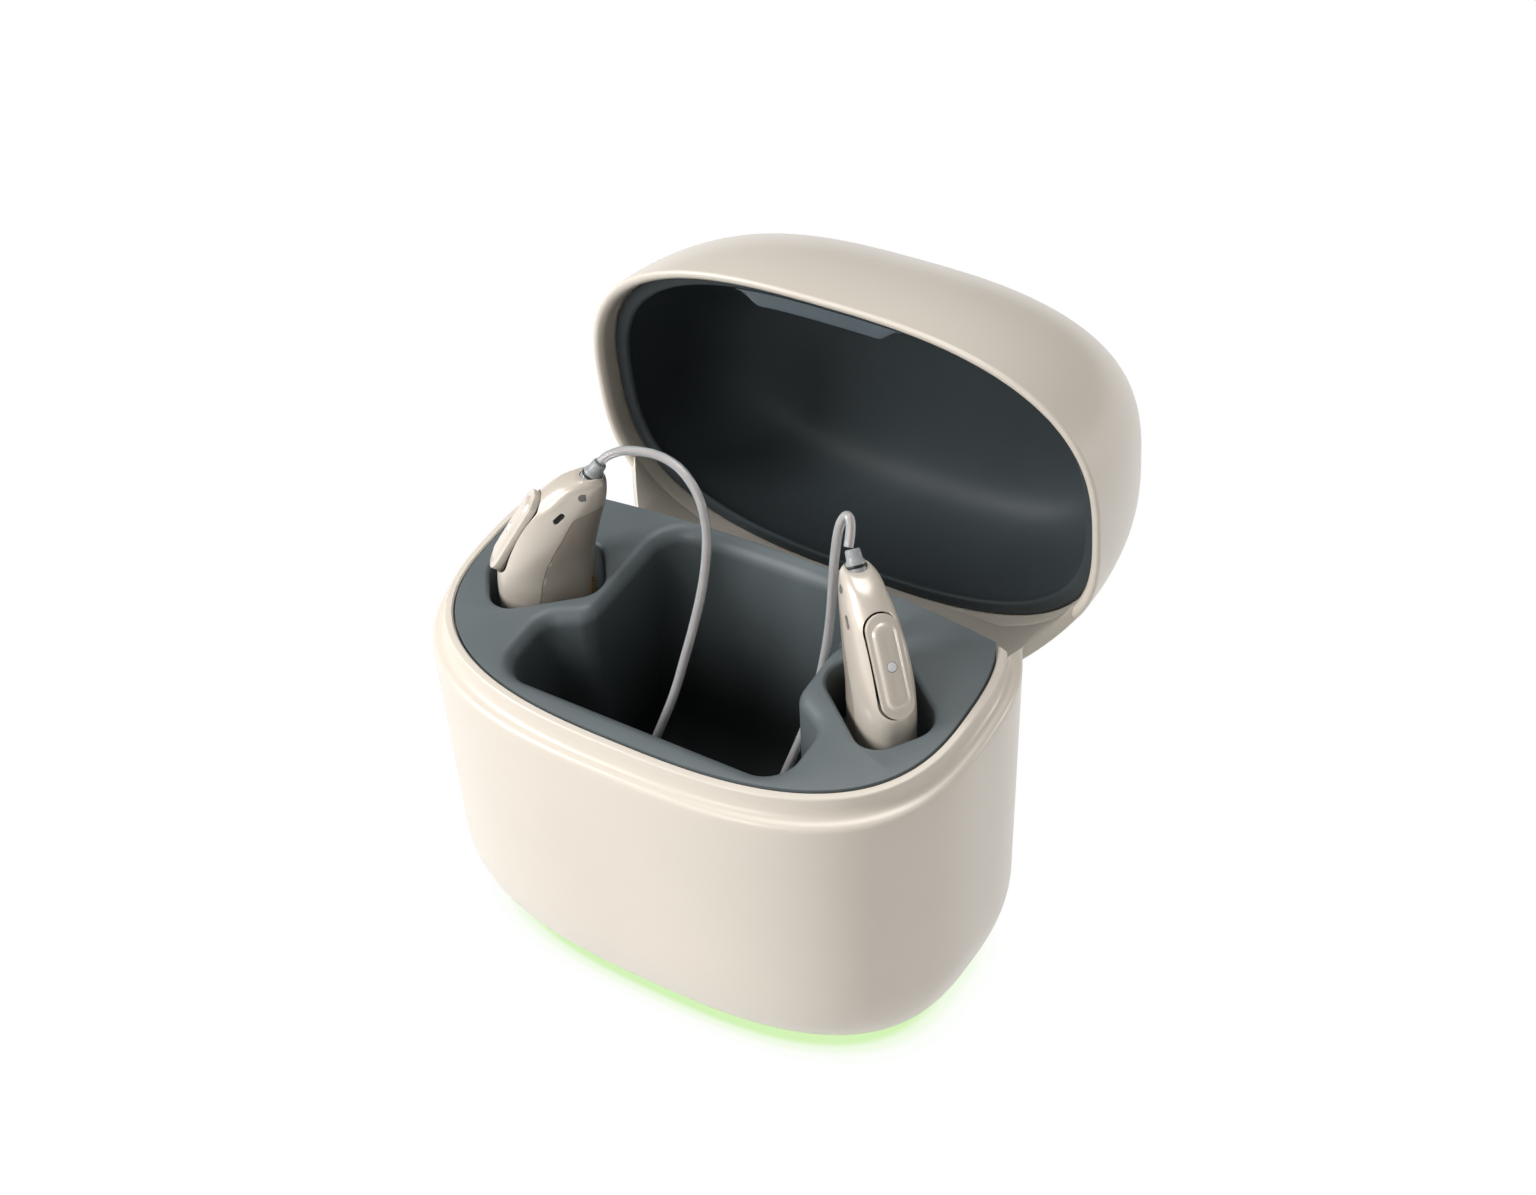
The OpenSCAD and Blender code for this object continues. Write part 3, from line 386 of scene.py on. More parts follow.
def between(a, b, share):
    return [tuple(p + (q - p) * share for p, q in zip(v, w)) for v, w in zip(a, b)]


def quarter(steps, first=0):
    """Angles from nought to a right angle."""
    return [radians(90 * i / steps) for i in range(first, steps + 1)]


def rounded(points, radii, steps=10):
    """A closed outline, counterclockwise, with each corner an arc of its own radius."""
    out = []
    n = len(points)
    for i, r in enumerate(radii):
        p, a, b = Vector(points[i]), Vector(points[i - 1]), Vector(points[(i + 1) % n])
        u, v = (a - p).normalized(), (b - p).normalized()
        half = acos(max(-1, min(1, u.dot(v)))) / 2
        reach = r / tan(half)
        middle = p + (u + v).normalized() * (r / sin(half))
        start, end = p + u * reach - middle, p + v * reach - middle
        a0, a1 = atan2(start.y, start.x), atan2(end.y, end.x)
        turn = (a1 - a0 + pi) % (2 * pi) - pi
        arc = [a0 + turn * k / steps for k in range(steps + 1)]
        out += [(middle.x + r * cos(t), middle.y + r * sin(t)) for t in arc]
    return out


def grown(points, by):
    out = []
    n = len(points)
    for i in range(n):
        a, p, b = Vector(points[i - 1]), Vector(points[i]), Vector(points[(i + 1) % n])
        t = (p - a).normalized() + (b - p).normalized()
        if t.length < 1e-9:
            t = b - a
        t.normalize()
        out.append((p.x + t.y * by, p.y - t.x * by))
    return out


def stadium(length, width, steps=16):
    r, reach = width / 2, (length - width) / 2
    return [(side * reach + r * cos(a + pi * k / steps), r * sin(a + pi * k / steps))
            for side, a in ((1, -pi / 2), (-1, pi / 2)) for k in range(steps + 1)]


def circle(r, n=32):
    return [(r * cos(2 * pi * i / n), r * sin(2 * pi * i / n)) for i in range(n)]


def smooth_line(points, steps):
    """The points joined by a smooth curve that passes through them all."""
    out = []
    for i in range(len(points) - 1):
        p = [Vector(points[max(0, min(len(points) - 1, i + d))]) for d in (-1, 0, 1, 2)]
        once = p[2] - p[0]
        twice = 2 * p[0] - 5 * p[1] + 4 * p[2] - p[3]
        thrice = 3 * p[1] - p[0] - 3 * p[2] + p[3]
        for k in range(steps):
            u = k / steps
            out.append(0.5 * (2 * p[1] + once * u + twice * u ** 2 + thrice * u ** 3))
    return out + [Vector(points[-1])]


# The notch in the case's back wall, which the lid's flap fills with a gap around it
def notch_outline(grow):
    half, bottom, top, top_r = NOTCH_HALF + grow, NOTCH_Z - grow, 110.0, 1
    corners = [(-half, bottom), (half, bottom), (half, top), (-half, top)]
    return rounded(corners, [NOTCH_R, NOTCH_R, top_r, top_r])


def notch_flares(grow):
    """The notch's upper corners lean outward, so the lid's rim drops at the back corners."""
    out = []
    low = grow * DIAGONAL
    leaning = ((-FLARE_W, -FLARE_W - low), (FLARE_W, FLARE_W - low), (FLARE_W, PAST), (-FLARE_W, PAST))
    for side in (-1, 1):
        c, s = cos(FLARE_TURN), -sin(FLARE_TURN) * side
        rings = []
        for y in (-grow, PAST):
            rings.append([(side * NOTCH_HALF + side * x * c - y * s, NOTCH_Y + side * x * s + y * c,
                           HINGE_Z + FLARE_UP + z) for x, z in leaning])
        out.append(loft("flare", rings))
    return out


# Base: one smooth shell with its round foot, shoulder and neck
WALL_SHARES = (0.2, 0.4, 0.6, 0.8, 0.94)
EDGE, LEDGE_W, LEDGE_TOP, LEDGE_LOW, WALL_TOP = 0.2, 0.8, 2.25, 4.3, 6.3
FOOT_HOLE, PORT_FROM = FOOT_W + DRAFT + 0.1, 10


def rounded_edge(inset, drop, r, steps):
    return [deck_ring(inset + r * (1 - cos(a)), drop + r * (1 - sin(a))) for a in quarter(steps)]


def foot_rings(width, height, inset, z, angles):
    return [level(plan(inset + width * (1 - sin(a))), z + height * (1 - cos(a))) for a in angles]


def make_base():
    foot = foot_rings(FOOT_W, FOOT_H, DRAFT, FOOT_GAP, quarter(18))
    top = deck_ring(0, SHOULDER + SHOULDER_R)
    walls = [between(foot[-1], top, share) for share in WALL_SHARES]
    shoulder = rounded_edge(0, SHOULDER, SHOULDER_R, 6)
    flare = [deck_ring(SHOULDER_R + (NECK_IN - SHOULDER_R) * sin(a), SHOULDER - FLARE * (1 - cos(a)))
             for a in quarter(6, 1)]
    neck = rounded_edge(NECK_IN, NECK_DROP, NECK_R, 5)
    inner = NECK_IN + NECK_W
    seat = [deck_ring(inset, drop) for inset, drop in (
        (inner - EDGE, NECK_DROP), (inner, NECK_DROP + EDGE), (inner, LEDGE_TOP),
        (inner + LEDGE_W, LEDGE_TOP), (inner + LEDGE_W, LEDGE_LOW), (WALL, WALL_TOP))]
    inside = foot_rings(FOOT_IN_W, FOOT_H - WALL, WALL + DRAFT, FOOT_GAP + WALL, quarter(3)[::-1])
    base = loft("case_shell", foot + walls + shoulder + flare + neck + seat + inside)
    boolean(base, prism(notch_outline(0), (NOTCH_Y, PAST), upright))
    for cut in notch_flares(0):
        boolean(base, cut)
    boolean(base, prism(plan(FOOT_HOLE), (-1, FOOT_GAP + WALL + 1)))
    port = [(x, z + PORT_Z) for x, z in stadium(PORT_W, PORT_H)]
    boolean(base, prism(port, (PORT_FROM, PAST), upright))
    dress(base, "case", IVORY, ["base_shell"], 32)


make_base()


# Deck: a slab with soft lips round the hollow and the two wells
SLAB_LEVELS = ((1, DECK_T), (1, 0.25), (0.998, 0.07), (0.993, 0))
HOLLOW_HALF_W, HOLLOW_HALF_M, HOLLOW_FRONT = 22.2, 16.4, -19.4
HOLLOW_LOBE, HOLLOW_WAIST = -9.3, -6.1
HOLLOW_RADII = [4.4, 4.4, 3.1, 3.2, 4.2, 4.2, 3.2, 3.1]
HOLLOW_LIP, WELL_LIP, LIP_RISE, POCKET_DROP = 2.2, 0.7, 3, 0.4


def hollow_outline(back, grow=0.0):
    w, m = HOLLOW_HALF_W, HOLLOW_HALF_M
    corners = [(-w, HOLLOW_FRONT), (w, HOLLOW_FRONT), (w, HOLLOW_LOBE), (m, HOLLOW_WAIST),
               (m, back), (-m, back), (-m, HOLLOW_WAIST), (-w, HOLLOW_LOBE)]
    out = [(x, y + DECK_Y) for x, y in rounded(corners, HOLLOW_RADII, 14)]
    return grown(out, grow) if grow else out


def hollow_back_at(share):
    """The back wall slopes forward as it goes down."""
    return HOLLOW_BACK - HOLLOW_RAMP * (1 - sqrt(1 - share ** 2))


def well_outline(side, grow=0.0):
    reach, w = (AID_L + WELL_ROOM_L) / 2, (AID_T + WELL_ROOM_T) / 2
    near, far = -reach - WELL_SHIFT, reach - WELL_SHIFT
    out = rounded([(near, -w), (far, -w), (far, w), (near, w)], [WELL_R] * 4)
    if grow:
        out = grown(out, grow)
    a = -WELL_TURN if side > 0 else pi + WELL_TURN
    return [(side * WELL_X + x * cos(a) - y * sin(a), WELL_Y + x * sin(a) + y * cos(a)) for x, y in out]


def in_deck(outline):
    """The outline, drawn in where it would pass the deck's edge."""
    half_w, half_d = HALF_W - POCKET_INSET, HALF_D - POCKET_INSET
    out = []
    for x, y in outline:
        edge = plan_point(half_w, half_d, POWER, atan2(y * half_w / half_d, x))
        share = min(1.0, hypot(*edge) / max(1e-6, hypot(x, y)))
        out.append((x * share, min(y * share, BACK_Y - 0.1)))
    return out


def pocket(outline_at, lip, floor, steps=14):
    """What a pocket takes out of the deck: its rounded lip, then its wall down to the floor.

    The outline is asked for by how far it is grown and by its share of the way down.
    """
    rings = [on_deck(outline_at(lip, 0), -LIP_RISE)]
    rings += [on_deck(outline_at(lip * (1 - sin(a)), 0), lip * (1 - cos(a))) for a in quarter(9)]
    heights = [z for _, _, z in rings[-1]]
    for k in range(1, steps + 1):
        share = k / steps
        rings.append([(x, y, z + (floor - z) * share) for (x, y), z in zip(outline_at(0, share), heights)])
    return loft("pocket", rings)


def make_deck():
    slab = [(x, min(y, back_limit(x))) for x, y in plan(DECK_INSET)]
    rings = [[(x * share, y * share, deck_z(y) - drop) for x, y in slab] for share, drop in SLAB_LEVELS]
    deck = loft("deck_top", rings)
    linings = [(hollow_outline(HOLLOW_BACK, POCKET_WALL), HOLLOW_FLOOR)]
    linings += [(well_outline(side, POCKET_WALL), WELL_FLOOR) for side in (-1, 1)]
    for outline, floor in linings:
        outline = in_deck(outline)
        lining = loft("lining", [level(outline, floor - DECK_T), on_deck(outline, POCKET_DROP)])
        boolean(deck, lining, "UNION")

    def hollow_at(grow, share):
        return hollow_outline(hollow_back_at(share), grow)
    boolean(deck, pocket(hollow_at, HOLLOW_LIP, HOLLOW_FLOOR))
    for side in (-1, 1):
        boolean(deck, pocket(lambda grow, share: well_outline(side, grow), WELL_LIP, WELL_FLOOR))
    dress(deck, "case", DECK_SLATE_PAINTED_SHADE, ["deck"], 30)


make_deck()

SKIRT_HALF_W, SKIRT_T, SKIRT_TOP, SKIRT_Z, SKIRT_STEPS = 36.2, 1.7, 1.9, NOTCH_Z - 10, 36


def make_skirt():
    """The deck's skirt, which closes the notch behind the lid's flap."""
    rings = []
    for i in range(SKIRT_STEPS + 1):
        x = SKIRT_HALF_W * (2 * i / SKIRT_STEPS - 1)
        y = min(back_limit(x), plan_y(x, POCKET_INSET))
        front = y - SKIRT_T
        rings.append([(x, y, SKIRT_Z), (x, y, deck_z(y) - SKIRT_TOP),
                      (x, front, deck_z(front) - SKIRT_TOP), (x, front, SKIRT_Z)])
    dress(loft("deck_skirt", rings), "case", DECK_SLATE_PAINTED_SHADE, (), 30)


make_skirt()


# Lid: dome, flap, liner and tab, made shut and then turned open
DOME_TOP = 89.2
DOME_IN = LID_WALL + 0.35
RIM_CURVE, RIM_FLARE, SEAT_UNDER = 1.6, 0.8, 1.2


def opened(points):
    """Points of the shut lid, turned about the hinge to where the lid stands open."""
    c, s = cos(-LID_TURN), sin(-LID_TURN)
    out = []
    for x, y, z in points:
        y, z = y - HINGE_Y, z - HINGE_Z
        out.append((x, HINGE_Y + y * c - z * s, HINGE_Z + y * s + z * c))
    return out


def dome_ring(inset, angle, height, power=LID_POWER, fullness=2.0):
    """One level of a dome: its angle runs from 0 at the rim to 90 degrees at the top."""
    u = radians(angle)
    half_w, half_d = HALF_W - inset, HALF_D - inset
    c = cos(u) ** (2 / power)
    ring_w = half_w - half_d * (1 - c) * (1 + (half_w / half_d - 1) * (1 - c) ** 2)
    outline = [plan_point(ring_w, half_d * c, POWER, 2 * pi * i / COUNT) for i in range(COUNT)]
    return on_deck(outline, RIM_DROP - height * sin(u) ** (2 / fullness))


def dome_rings(inset, drop, steps=26):
    """The dome's levels, from as far under the deck's plane as drop says up to the top."""
    height = LID_H - inset
    start = degrees(asin((RIM_DROP - drop) / height))
    return [dome_ring(inset, start + (DOME_TOP - start) * i / steps, height) for i in range(steps + 1)]


def make_lid():
    seat_drop = LINER_DROP - LINER_T - SEAT_GAP
    inner = dome_rings(LID_WALL, seat_drop - 0.1)[::-1]
    seat = [deck_ring(inset, drop) for inset, drop in (
        (DOME_IN, seat_drop), (RIM_W, seat_drop), (RIM_W, LINER_DROP + SEAT_UNDER))]
    flare = [deck_ring(RIM_R + (RIM_W - RIM_R) * (1 - (a * 2 / pi) ** RIM_CURVE),
                       RIM_DROP - FLARE * RIM_FLARE * (1 - sin(a))) for a in quarter(6)]
    lip = [deck_ring(RIM_R * (1 - sin(a)), RIM_DROP - RIM_R * (1 - cos(a))) for a in quarter(5, 1)]
    outer = dome_rings(0, RIM_DROP - RIM_R)
    shell = loft("lid_dome", [opened(ring) for ring in inner + seat + flare + lip + outer])
    dress(shell, "lid", IVORY, ["lid_shell"], 40)


make_lid()

FLAP_Z, FLAP_FROM, FLAP_OVERLAP, FLAP_INSET, FLAP_WALL = HINGE_Z - 3.2, 10, 0.6, 0.05, 1.65
LAND_HALF_W, LAND_Y, FLAP_BEVEL = 26, 22.6, 0.25
FLAP_ENDS, ROOM_ENDS, LAND_ENDS, ABOVE_ALL = (20, 90), (0, 160), (-5, 165), 150


def make_flap():
    """The flap carries on the case's back wall from the lid's rim down to the hinge."""
    outline = [(x, max(z, FLAP_Z)) for x, z in notch_outline(-NOTCH_GAP)]
    flap = prism(outline, (FLAP_FROM, PAST), upright)
    flap.name = "lid_flap"
    for flare in notch_flares(-NOTCH_GAP):
        boolean(flap, flare, "UNION")
    boolean(flap, prism(plan(FLAP_INSET), FLAP_ENDS), "INTERSECT")
    behind = [(-PAST, 0), (PAST, 0), (PAST, PAST), (-PAST, PAST)]
    boolean(flap, loft("above", [on_deck(behind, RIM_DROP - FLAP_OVERLAP), level(behind, ABOVE_ALL)]))
    room = prism(plan(FLAP_WALL), ROOM_ENDS)
    land = [(-LAND_HALF_W, LAND_Y), (LAND_HALF_W, LAND_Y), (LAND_HALF_W, PAST), (-LAND_HALF_W, PAST)]
    boolean(room, prism(land, LAND_ENDS))
    boolean(flap, room)
    bevel(flap, FLAP_BEVEL, 50)
    for v in flap.data.vertices:
        v.co = Vector(opened([[c / MM for c in v.co]])[0]) * MM
    dress(flap, "lid", IVORY, (), 35)


make_flap()

BOWL_INSET, BOWL_H, BOWL_POWER, BOWL_FULLNESS, BOWL_STEPS = DOME_IN + 1.4, 26.0, 5.2, 3.3, 40
FLANGE, FLANGE_W, LINER_UNDER = RIM_W + 0.25, 2.1, 1.2


def make_liner():
    """The liner's bowl has a flatter roof than the dome, with a soft crease round it."""
    start = degrees(asin(((RIM_DROP - LINER_DROP + LINER_T) / BOWL_H) ** (BOWL_FULLNESS / 2)))
    angles = [start + (DOME_TOP - start) * i / BOWL_STEPS for i in range(BOWL_STEPS + 1)]
    bowl = [dome_ring(BOWL_INSET, a, BOWL_H, BOWL_POWER, BOWL_FULLNESS) for a in angles[::-1]]
    inner = FLANGE + FLANGE_W
    lip = [deck_ring(inset, LINER_DROP - up) for inset, up in (
        (inner, 0.55), (inner - 0.1, 0.25), (inner - 0.35, 0.05), (inner - 0.6, 0), (FLANGE + 0.3, 0),
        (FLANGE + 0.08, 0.1), (FLANGE, 0.3), (FLANGE, LINER_T), (DOME_IN + 0.4, LINER_T))]
    outer = dome_rings(DOME_IN, LINER_DROP - LINER_UNDER)
    liner = loft("lid_bowl", [opened(ring) for ring in bowl + lip + outer])
    dress(liner, "lid", LINER_SLATE, ["lid_liner"], 40)


make_liner()

TAB_HALF_W, TAB_SLOPE, TAB_H, TAB_X = 13.2, 3.8, 4.2, -2.9
TAB_INSET, TAB_W, TAB_THIN, TAB_PROUD, TAB_SOFT = 3.9, 2.5, 0.12, 0.12, 0.35


def make_tab():
    """The magnet's cover at the liner's front edge: a band with sloping ends."""
    rings = []
    half_steps = 28
    for i in range(2 * half_steps + 1):
        x = TAB_HALF_W * (i / half_steps - 1)
        u = min(1.0, (TAB_HALF_W - abs(x)) / TAB_SLOPE)
        width = max(TAB_THIN, TAB_W * (3 * u ** 2 - 2 * u ** 3))
        x += TAB_X
        back, front = -plan_y(x, TAB_INSET), -plan_y(x, TAB_INSET + width)
        soft = min(TAB_SOFT, width / 3)
        corner = [(front - soft, 0), (front - soft * 0.3, soft * 0.3), (front, soft)]
        section = [(back, 0)] + corner + [(y, TAB_H - z) for y, z in corner[::-1]] + [(back, TAB_H)]
        rings.append(opened([(x, y, deck_z(y) - LINER_DROP + TAB_PROUD + z) for y, z in section]))
    dress(loft("liner_tab", rings), "lid", SLATE, ["magnet_cover"], 40)


make_tab()


# Hearing aids: made standing at their own origin, with X along the aid, then placed in their wells.
# Each section holds shares: of the height, of the length to both ends, and of the thickness.
SECTION_SHARES = [
    (0, -0.33, 0.32, 0.55), (0.036, -0.435, 0.405, 0.80), (0.11, -0.50, 0.457, 0.95),
    (0.255, -0.52, 0.47, 1), (0.40, -0.53, 0.457, 1), (0.51, -0.55, 0.405, 1), (0.62, -0.595, 0.32, 0.97),
    (0.73, -0.65, 0.21, 0.90), (0.84, -0.71, 0.065, 0.80), (0.912, -0.73, -0.10, 0.70),
    (0.97, -0.725, -0.26, 0.60), (1, -0.68, -0.42, 0.45)]
LEVEL_SHARES = [0, 0.008, 0.02, 0.036, 0.06, 0.085] + [0.11 + 0.02 * i for i in range(41)] + [
    0.93, 0.948, 0.962, 0.975, 0.985, 0.993, 1]
SEAM_SHARES = [(-0.9, 0.85), (-0.56, 0.82), (-0.38, 0.79), (-0.27, 0.70),
               (-0.11, 0.56), (-0.01, 0.43), (0.08, 0.16), (0.1, -0.1)]
AID_POWER, WAIST_POWER, WAIST_SHARE, WAIST_TOP_SHARE = 2.4, 1.5, 0.16, 0.9
SEAM_GAP, AID_BEVEL, LAST_SHARE = 0.07, 0.1, 0.99999


def section(share):
    """The sections joined by smooth curves."""
    last = len(SECTION_SHARES) - 1
    k = max(i for i in range(last) if SECTION_SHARES[i][0] <= share)
    rows = [SECTION_SHARES[max(0, min(last, k + d))] for d in (-1, 0, 1, 2)]
    step = rows[2][0] - rows[1][0]
    u = (share - rows[1][0]) / step
    h = (2 * u ** 3 - 3 * u ** 2 + 1, u ** 3 - 2 * u ** 2 + u, 3 * u ** 2 - 2 * u ** 3, u ** 3 - u ** 2)
    out = []
    for c in (1, 2, 3):
        slope0 = (rows[2][c] - rows[0][c]) / (rows[2][0] - rows[0][0]) * step
        slope1 = (rows[3][c] - rows[1][c]) / (rows[3][0] - rows[1][0]) * step
        out.append(h[0] * rows[1][c] + h[1] * slope0 + h[2] * rows[2][c] + h[3] * slope1)
    return out


def aid_form(name, shrink=0.0, count=96):
    """The aid's whole form; its inner side is drawn in to a soft ridge, as moulded housings are."""
    rings = []
    for share in LEVEL_SHARES:
        a, b, t = section(min(share, LAST_SHARE))
        z = -AID_SINK + shrink + share * (AID_H - 2 * shrink)
        mid, half_l, half_t = (a + b) / 2 * AID_L, (b - a) / 2 * AID_L - shrink, t * AID_T / 2 - shrink
        drawn_in = WAIST_SHARE * max(0.0, sin(pi * min(1.0, share / WAIST_TOP_SHARE)))
        ring = []
        for i in range(count):
            x, y = plan_point(half_l, half_t, AID_POWER, 2 * pi * i / count)
            ring.append((mid + x, y * (1 - max(0.0, -x / half_l) ** WAIST_POWER * drawn_in), z))
        rings.append(ring)
    return loft(name, rings)


def seam_prism(spine):
    """All that lies on one side of the seam between the spine and the side housing."""
    shift = 0 if spine else SEAM_GAP
    line = [(p[0] * AID_L - shift, -AID_SINK + p[1] * AID_H) for p in smooth_line(SEAM_SHARES, 6)]
    far = (1 if spine else -1) * AID_L
    top = AID_H if spine else line[0][1]
    loop = line + [(far, -AID_SINK - 3), (far, top)] + ([(-AID_L, top)] if spine else [])
    n = len(loop)
    points = [(x, y, z) for y in (-AID_T, AID_T) for x, z in loop]
    sides = [[j, (j + 1) % n, n + (j + 1) % n, n + j] for j in range(n)]
    return tidy_normals(new_mesh("seam", points, [list(range(n))[::-1], list(range(n, 2 * n))] + sides))


def tilted(place, turn):
    """A function that puts a point on a seat tilted by turn about Y."""
    c, s = cos(turn), sin(turn)

    def put(p):
        return place[0] + p[0] * c + p[2] * s, p[1], place[1] - p[0] * s + p[2] * c
    return put


SPINE, SPINE_TURN = (3.05, AID_H * 0.6752 - AID_SINK), radians(57.26)
PLUG, PLUG_TURN = (-8.1, AID_H * 0.989 - AID_SINK), radians(-36)
on_spine = tilted(SPINE, SPINE_TURN)
on_plug = tilted(PLUG, PLUG_TURN)

MIC, MIC_SIDE, MIC_TURN, MIC_TILT = (-3.2, AID_H * 0.81 - AID_SINK), AID_T * 0.385, radians(40), radians(72)
MIC_L, MIC_W, MIC_ENDS = 1.95, 0.85, (-0.8, 5)
WINDOW, WINDOW_HALF_W, WINDOW_HALF_H, WINDOW_ENDS, WINDOW_PROUD = (-6.6, 14.2), 0.55, 0.5, (1.5, 6), 0.03
WINDOW_RADII = [0.15, 0.5, 0.5, 0.15]
SEAT_L, SEAT_W, SEAT_ENDS = 14.2, 4.8, (-1.75, 8)
PLUG_HOLE_R, PLUG_HOLE_ENDS = 1.45, (-1.6, 3.2)
CONTACT_X, CONTACT_Y, CONTACT_HALF_W, CONTACT_ENDS = (-15, -6.76), 1.6, 0.7, (-3.65, -0.15)


def on_mic(side):
    """A function that puts a point on the microphone's place on one side of the spine."""
    c, s = cos(MIC_TURN), sin(MIC_TURN)
    tilt = -side * MIC_TILT

    def put(p):
        x, y = p[0] * c - p[1] * s, p[0] * s + p[1] * c
        y, z = y * cos(tilt) - p[2] * sin(tilt), y * sin(tilt) + p[2] * cos(tilt)
        return MIC[0] + x, side * MIC_SIDE + y, MIC[1] + z
    return put


def finished(obj, side, name, body, mat, nodes=(), sharp=40):
    """Places a piece of the aid in its well and dresses it."""
    turn = pi + WELL_TURN
    c, s = cos(turn), sin(turn)
    for v in obj.data.vertices:
        x, y, z = [c / MM for c in v.co]
        x, y = x * c - y * s, x * s + y * c
        v.co = Vector((-side * (x - WELL_X), y + WELL_Y, z + WELL_Z)) * MM
    tidy_normals(obj)
    obj.name = name
    dress(obj, body, mat, nodes, sharp)


def make_housing(side, name, form, spine):
    half = form.copy()
    half.data = form.data.copy()
    bpy.context.scene.collection.objects.link(half)
    boolean(half, seam_prism(spine), "INTERSECT")
    if spine:
        boolean(half, prism(stadium(SEAT_L, SEAT_W), SEAT_ENDS, on_spine))
        for y in (-1, 1):
            boolean(half, prism(stadium(MIC_L, MIC_W), MIC_ENDS, on_mic(y)))
    boolean(half, prism(circle(PLUG_HOLE_R), PLUG_HOLE_ENDS, on_plug))
    if not spine:
        x0, x1 = CONTACT_X
        for y in (-1, 1):
            low, high = y * CONTACT_Y - CONTACT_HALF_W, y * CONTACT_Y + CONTACT_HALF_W
            boolean(half, prism([(x0, low), (x1, low), (x1, high), (x0, high)], CONTACT_ENDS))
    bevel(half, AID_BEVEL, 38)
    body = name + "_aid"
    if spine:
        finished(half, side, name + "_front_housing", body, CHAMPAGNE, [body + "_spine"], 38)
    else:
        finished(half, side, name + "_side_housing", body, TAUPE, [body + "_side"], 38)


def make_window(side, name, y, where):
    """A small grey window beside the plug, cut out of a form a little larger than the housing."""
    window = aid_form("window", -WINDOW_PROUD, 64)
    w, h = WINDOW_HALF_W, WINDOW_HALF_H
    outline = rounded([(-w, -h), (w, -h), (w, h), (-w, h)], WINDOW_RADII, 6)
    outline = [(WINDOW[0] + a, WINDOW[1] + b) for a, b in outline]
    boolean(window, prism(outline, [y * end for end in WINDOW_ENDS], upright), "INTERSECT")
    finished(window, side, f"{name}_window_{where}", name + "_aid", SMOKE)


PLUG_PROFILE = ((1.35, -1.6), (1.35, 0.5), (1.3, 0.75), (1.12, 1.0), (1.06, 1.6), (1.02, 2.2), (0.9, 2.4))
COLLAR_PROFILE = ((1.40, -0.1), (1.43, 0.0), (1.43, 0.22), (1.38, 0.3), (1.36, 0.3), (1.36, -0.1))


def turned(name, profile, put):
    """A round piece from radii and heights, each point then put in its place."""
    return loft(name, [[put((x, y, z)) for x, y in circle(r)] for r, z in profile])


def make_plug(side, name):
    plug = turned("plug", PLUG_PROFILE, on_plug)
    finished(plug, side, name + "_clear_plug", name + "_aid", FROST, [name + "_plug"])
    collar = turned("collar", COLLAR_PROFILE, on_plug)
    finished(collar, side, name + "_collar", name + "_aid", BLACK)


ROCKER_L, ROCKER_W, ROCKER_PROUD, ROCKER_RIDGE, ROCKER_T = 13.8, 4.4, 0.55, 0.45, 0.95
RIDGE_SHORTER, SCOOP_FROM, SCOOP_L, SCOOP_SHARE = 1.1, 3.9, 2.2, 0.55
RIDGE_STEPS = ((0.48, 0.02), (0.62, 0.1), (0.78, 0.28), (0.95, 0.4), (1.15, 0.45), (1.5, 0.47), (1.9, 0.47))
LENS_HOLE_R, LENS_R, LENS_DEPTH = 0.7, 0.65, 0.55


def make_rocker(side, name):
    """A pill on a flat seat, scooped at both ends, with a round lens in its middle."""
    top = ROCKER_PROUD + ROCKER_RIDGE
    rings = [[(x, y, ROCKER_PROUD - down) for x, y in stadium(ROCKER_L - less, ROCKER_W - less)]
             for less, down in ((0.1, ROCKER_T), (0, 0.12), (0.1, 0.03), (0.25, 0))]
    for inset, up in RIDGE_STEPS:
        ring = []
        for x, y in stadium(ROCKER_L - 2 * inset - RIDGE_SHORTER, ROCKER_W - 2 * inset):
            scoop = max(0.0, (abs(x) - SCOOP_FROM) / SCOOP_L)
            ring.append((x, y, ROCKER_PROUD + up * max(0.0, 1 - scoop ** 2 * SCOOP_SHARE)))
        rings.append(ring)
    rocker = loft("rocker", [[on_spine(p) for p in ring] for ring in rings])
    boolean(rocker, prism(circle(LENS_HOLE_R), (top - LENS_DEPTH - 0.05, 4), on_spine))
    body = name + "_button"
    finished(rocker, side, name + "_rocker_button", body, CHAMPAGNE, [name + "_rocker"], 38)
    profile = ((LENS_R, top - LENS_DEPTH), (LENS_R, top - 0.04), (0.6, top + 0.03), (0.4, top + 0.06))
    lens = turned("lens", profile, on_spine)
    finished(lens, side, name + "_lens", body, LENS, [name + "_lamp"])


def make_aid(side, name):
    form = aid_form("form")
    boolean(form, aid_form("core", AID_SHELL, 64))
    for spine in (True, False):
        make_housing(side, name, form, spine)
    bpy.data.objects.remove(form)
    for y, where in ((-1, "inner"), (1, "outer")):
        make_window(side, name, y, where)
    make_rocker(side, name)
    make_plug(side, name)


for side, name in ((-1, "left"), (1, "right")):
    make_aid(side, name)


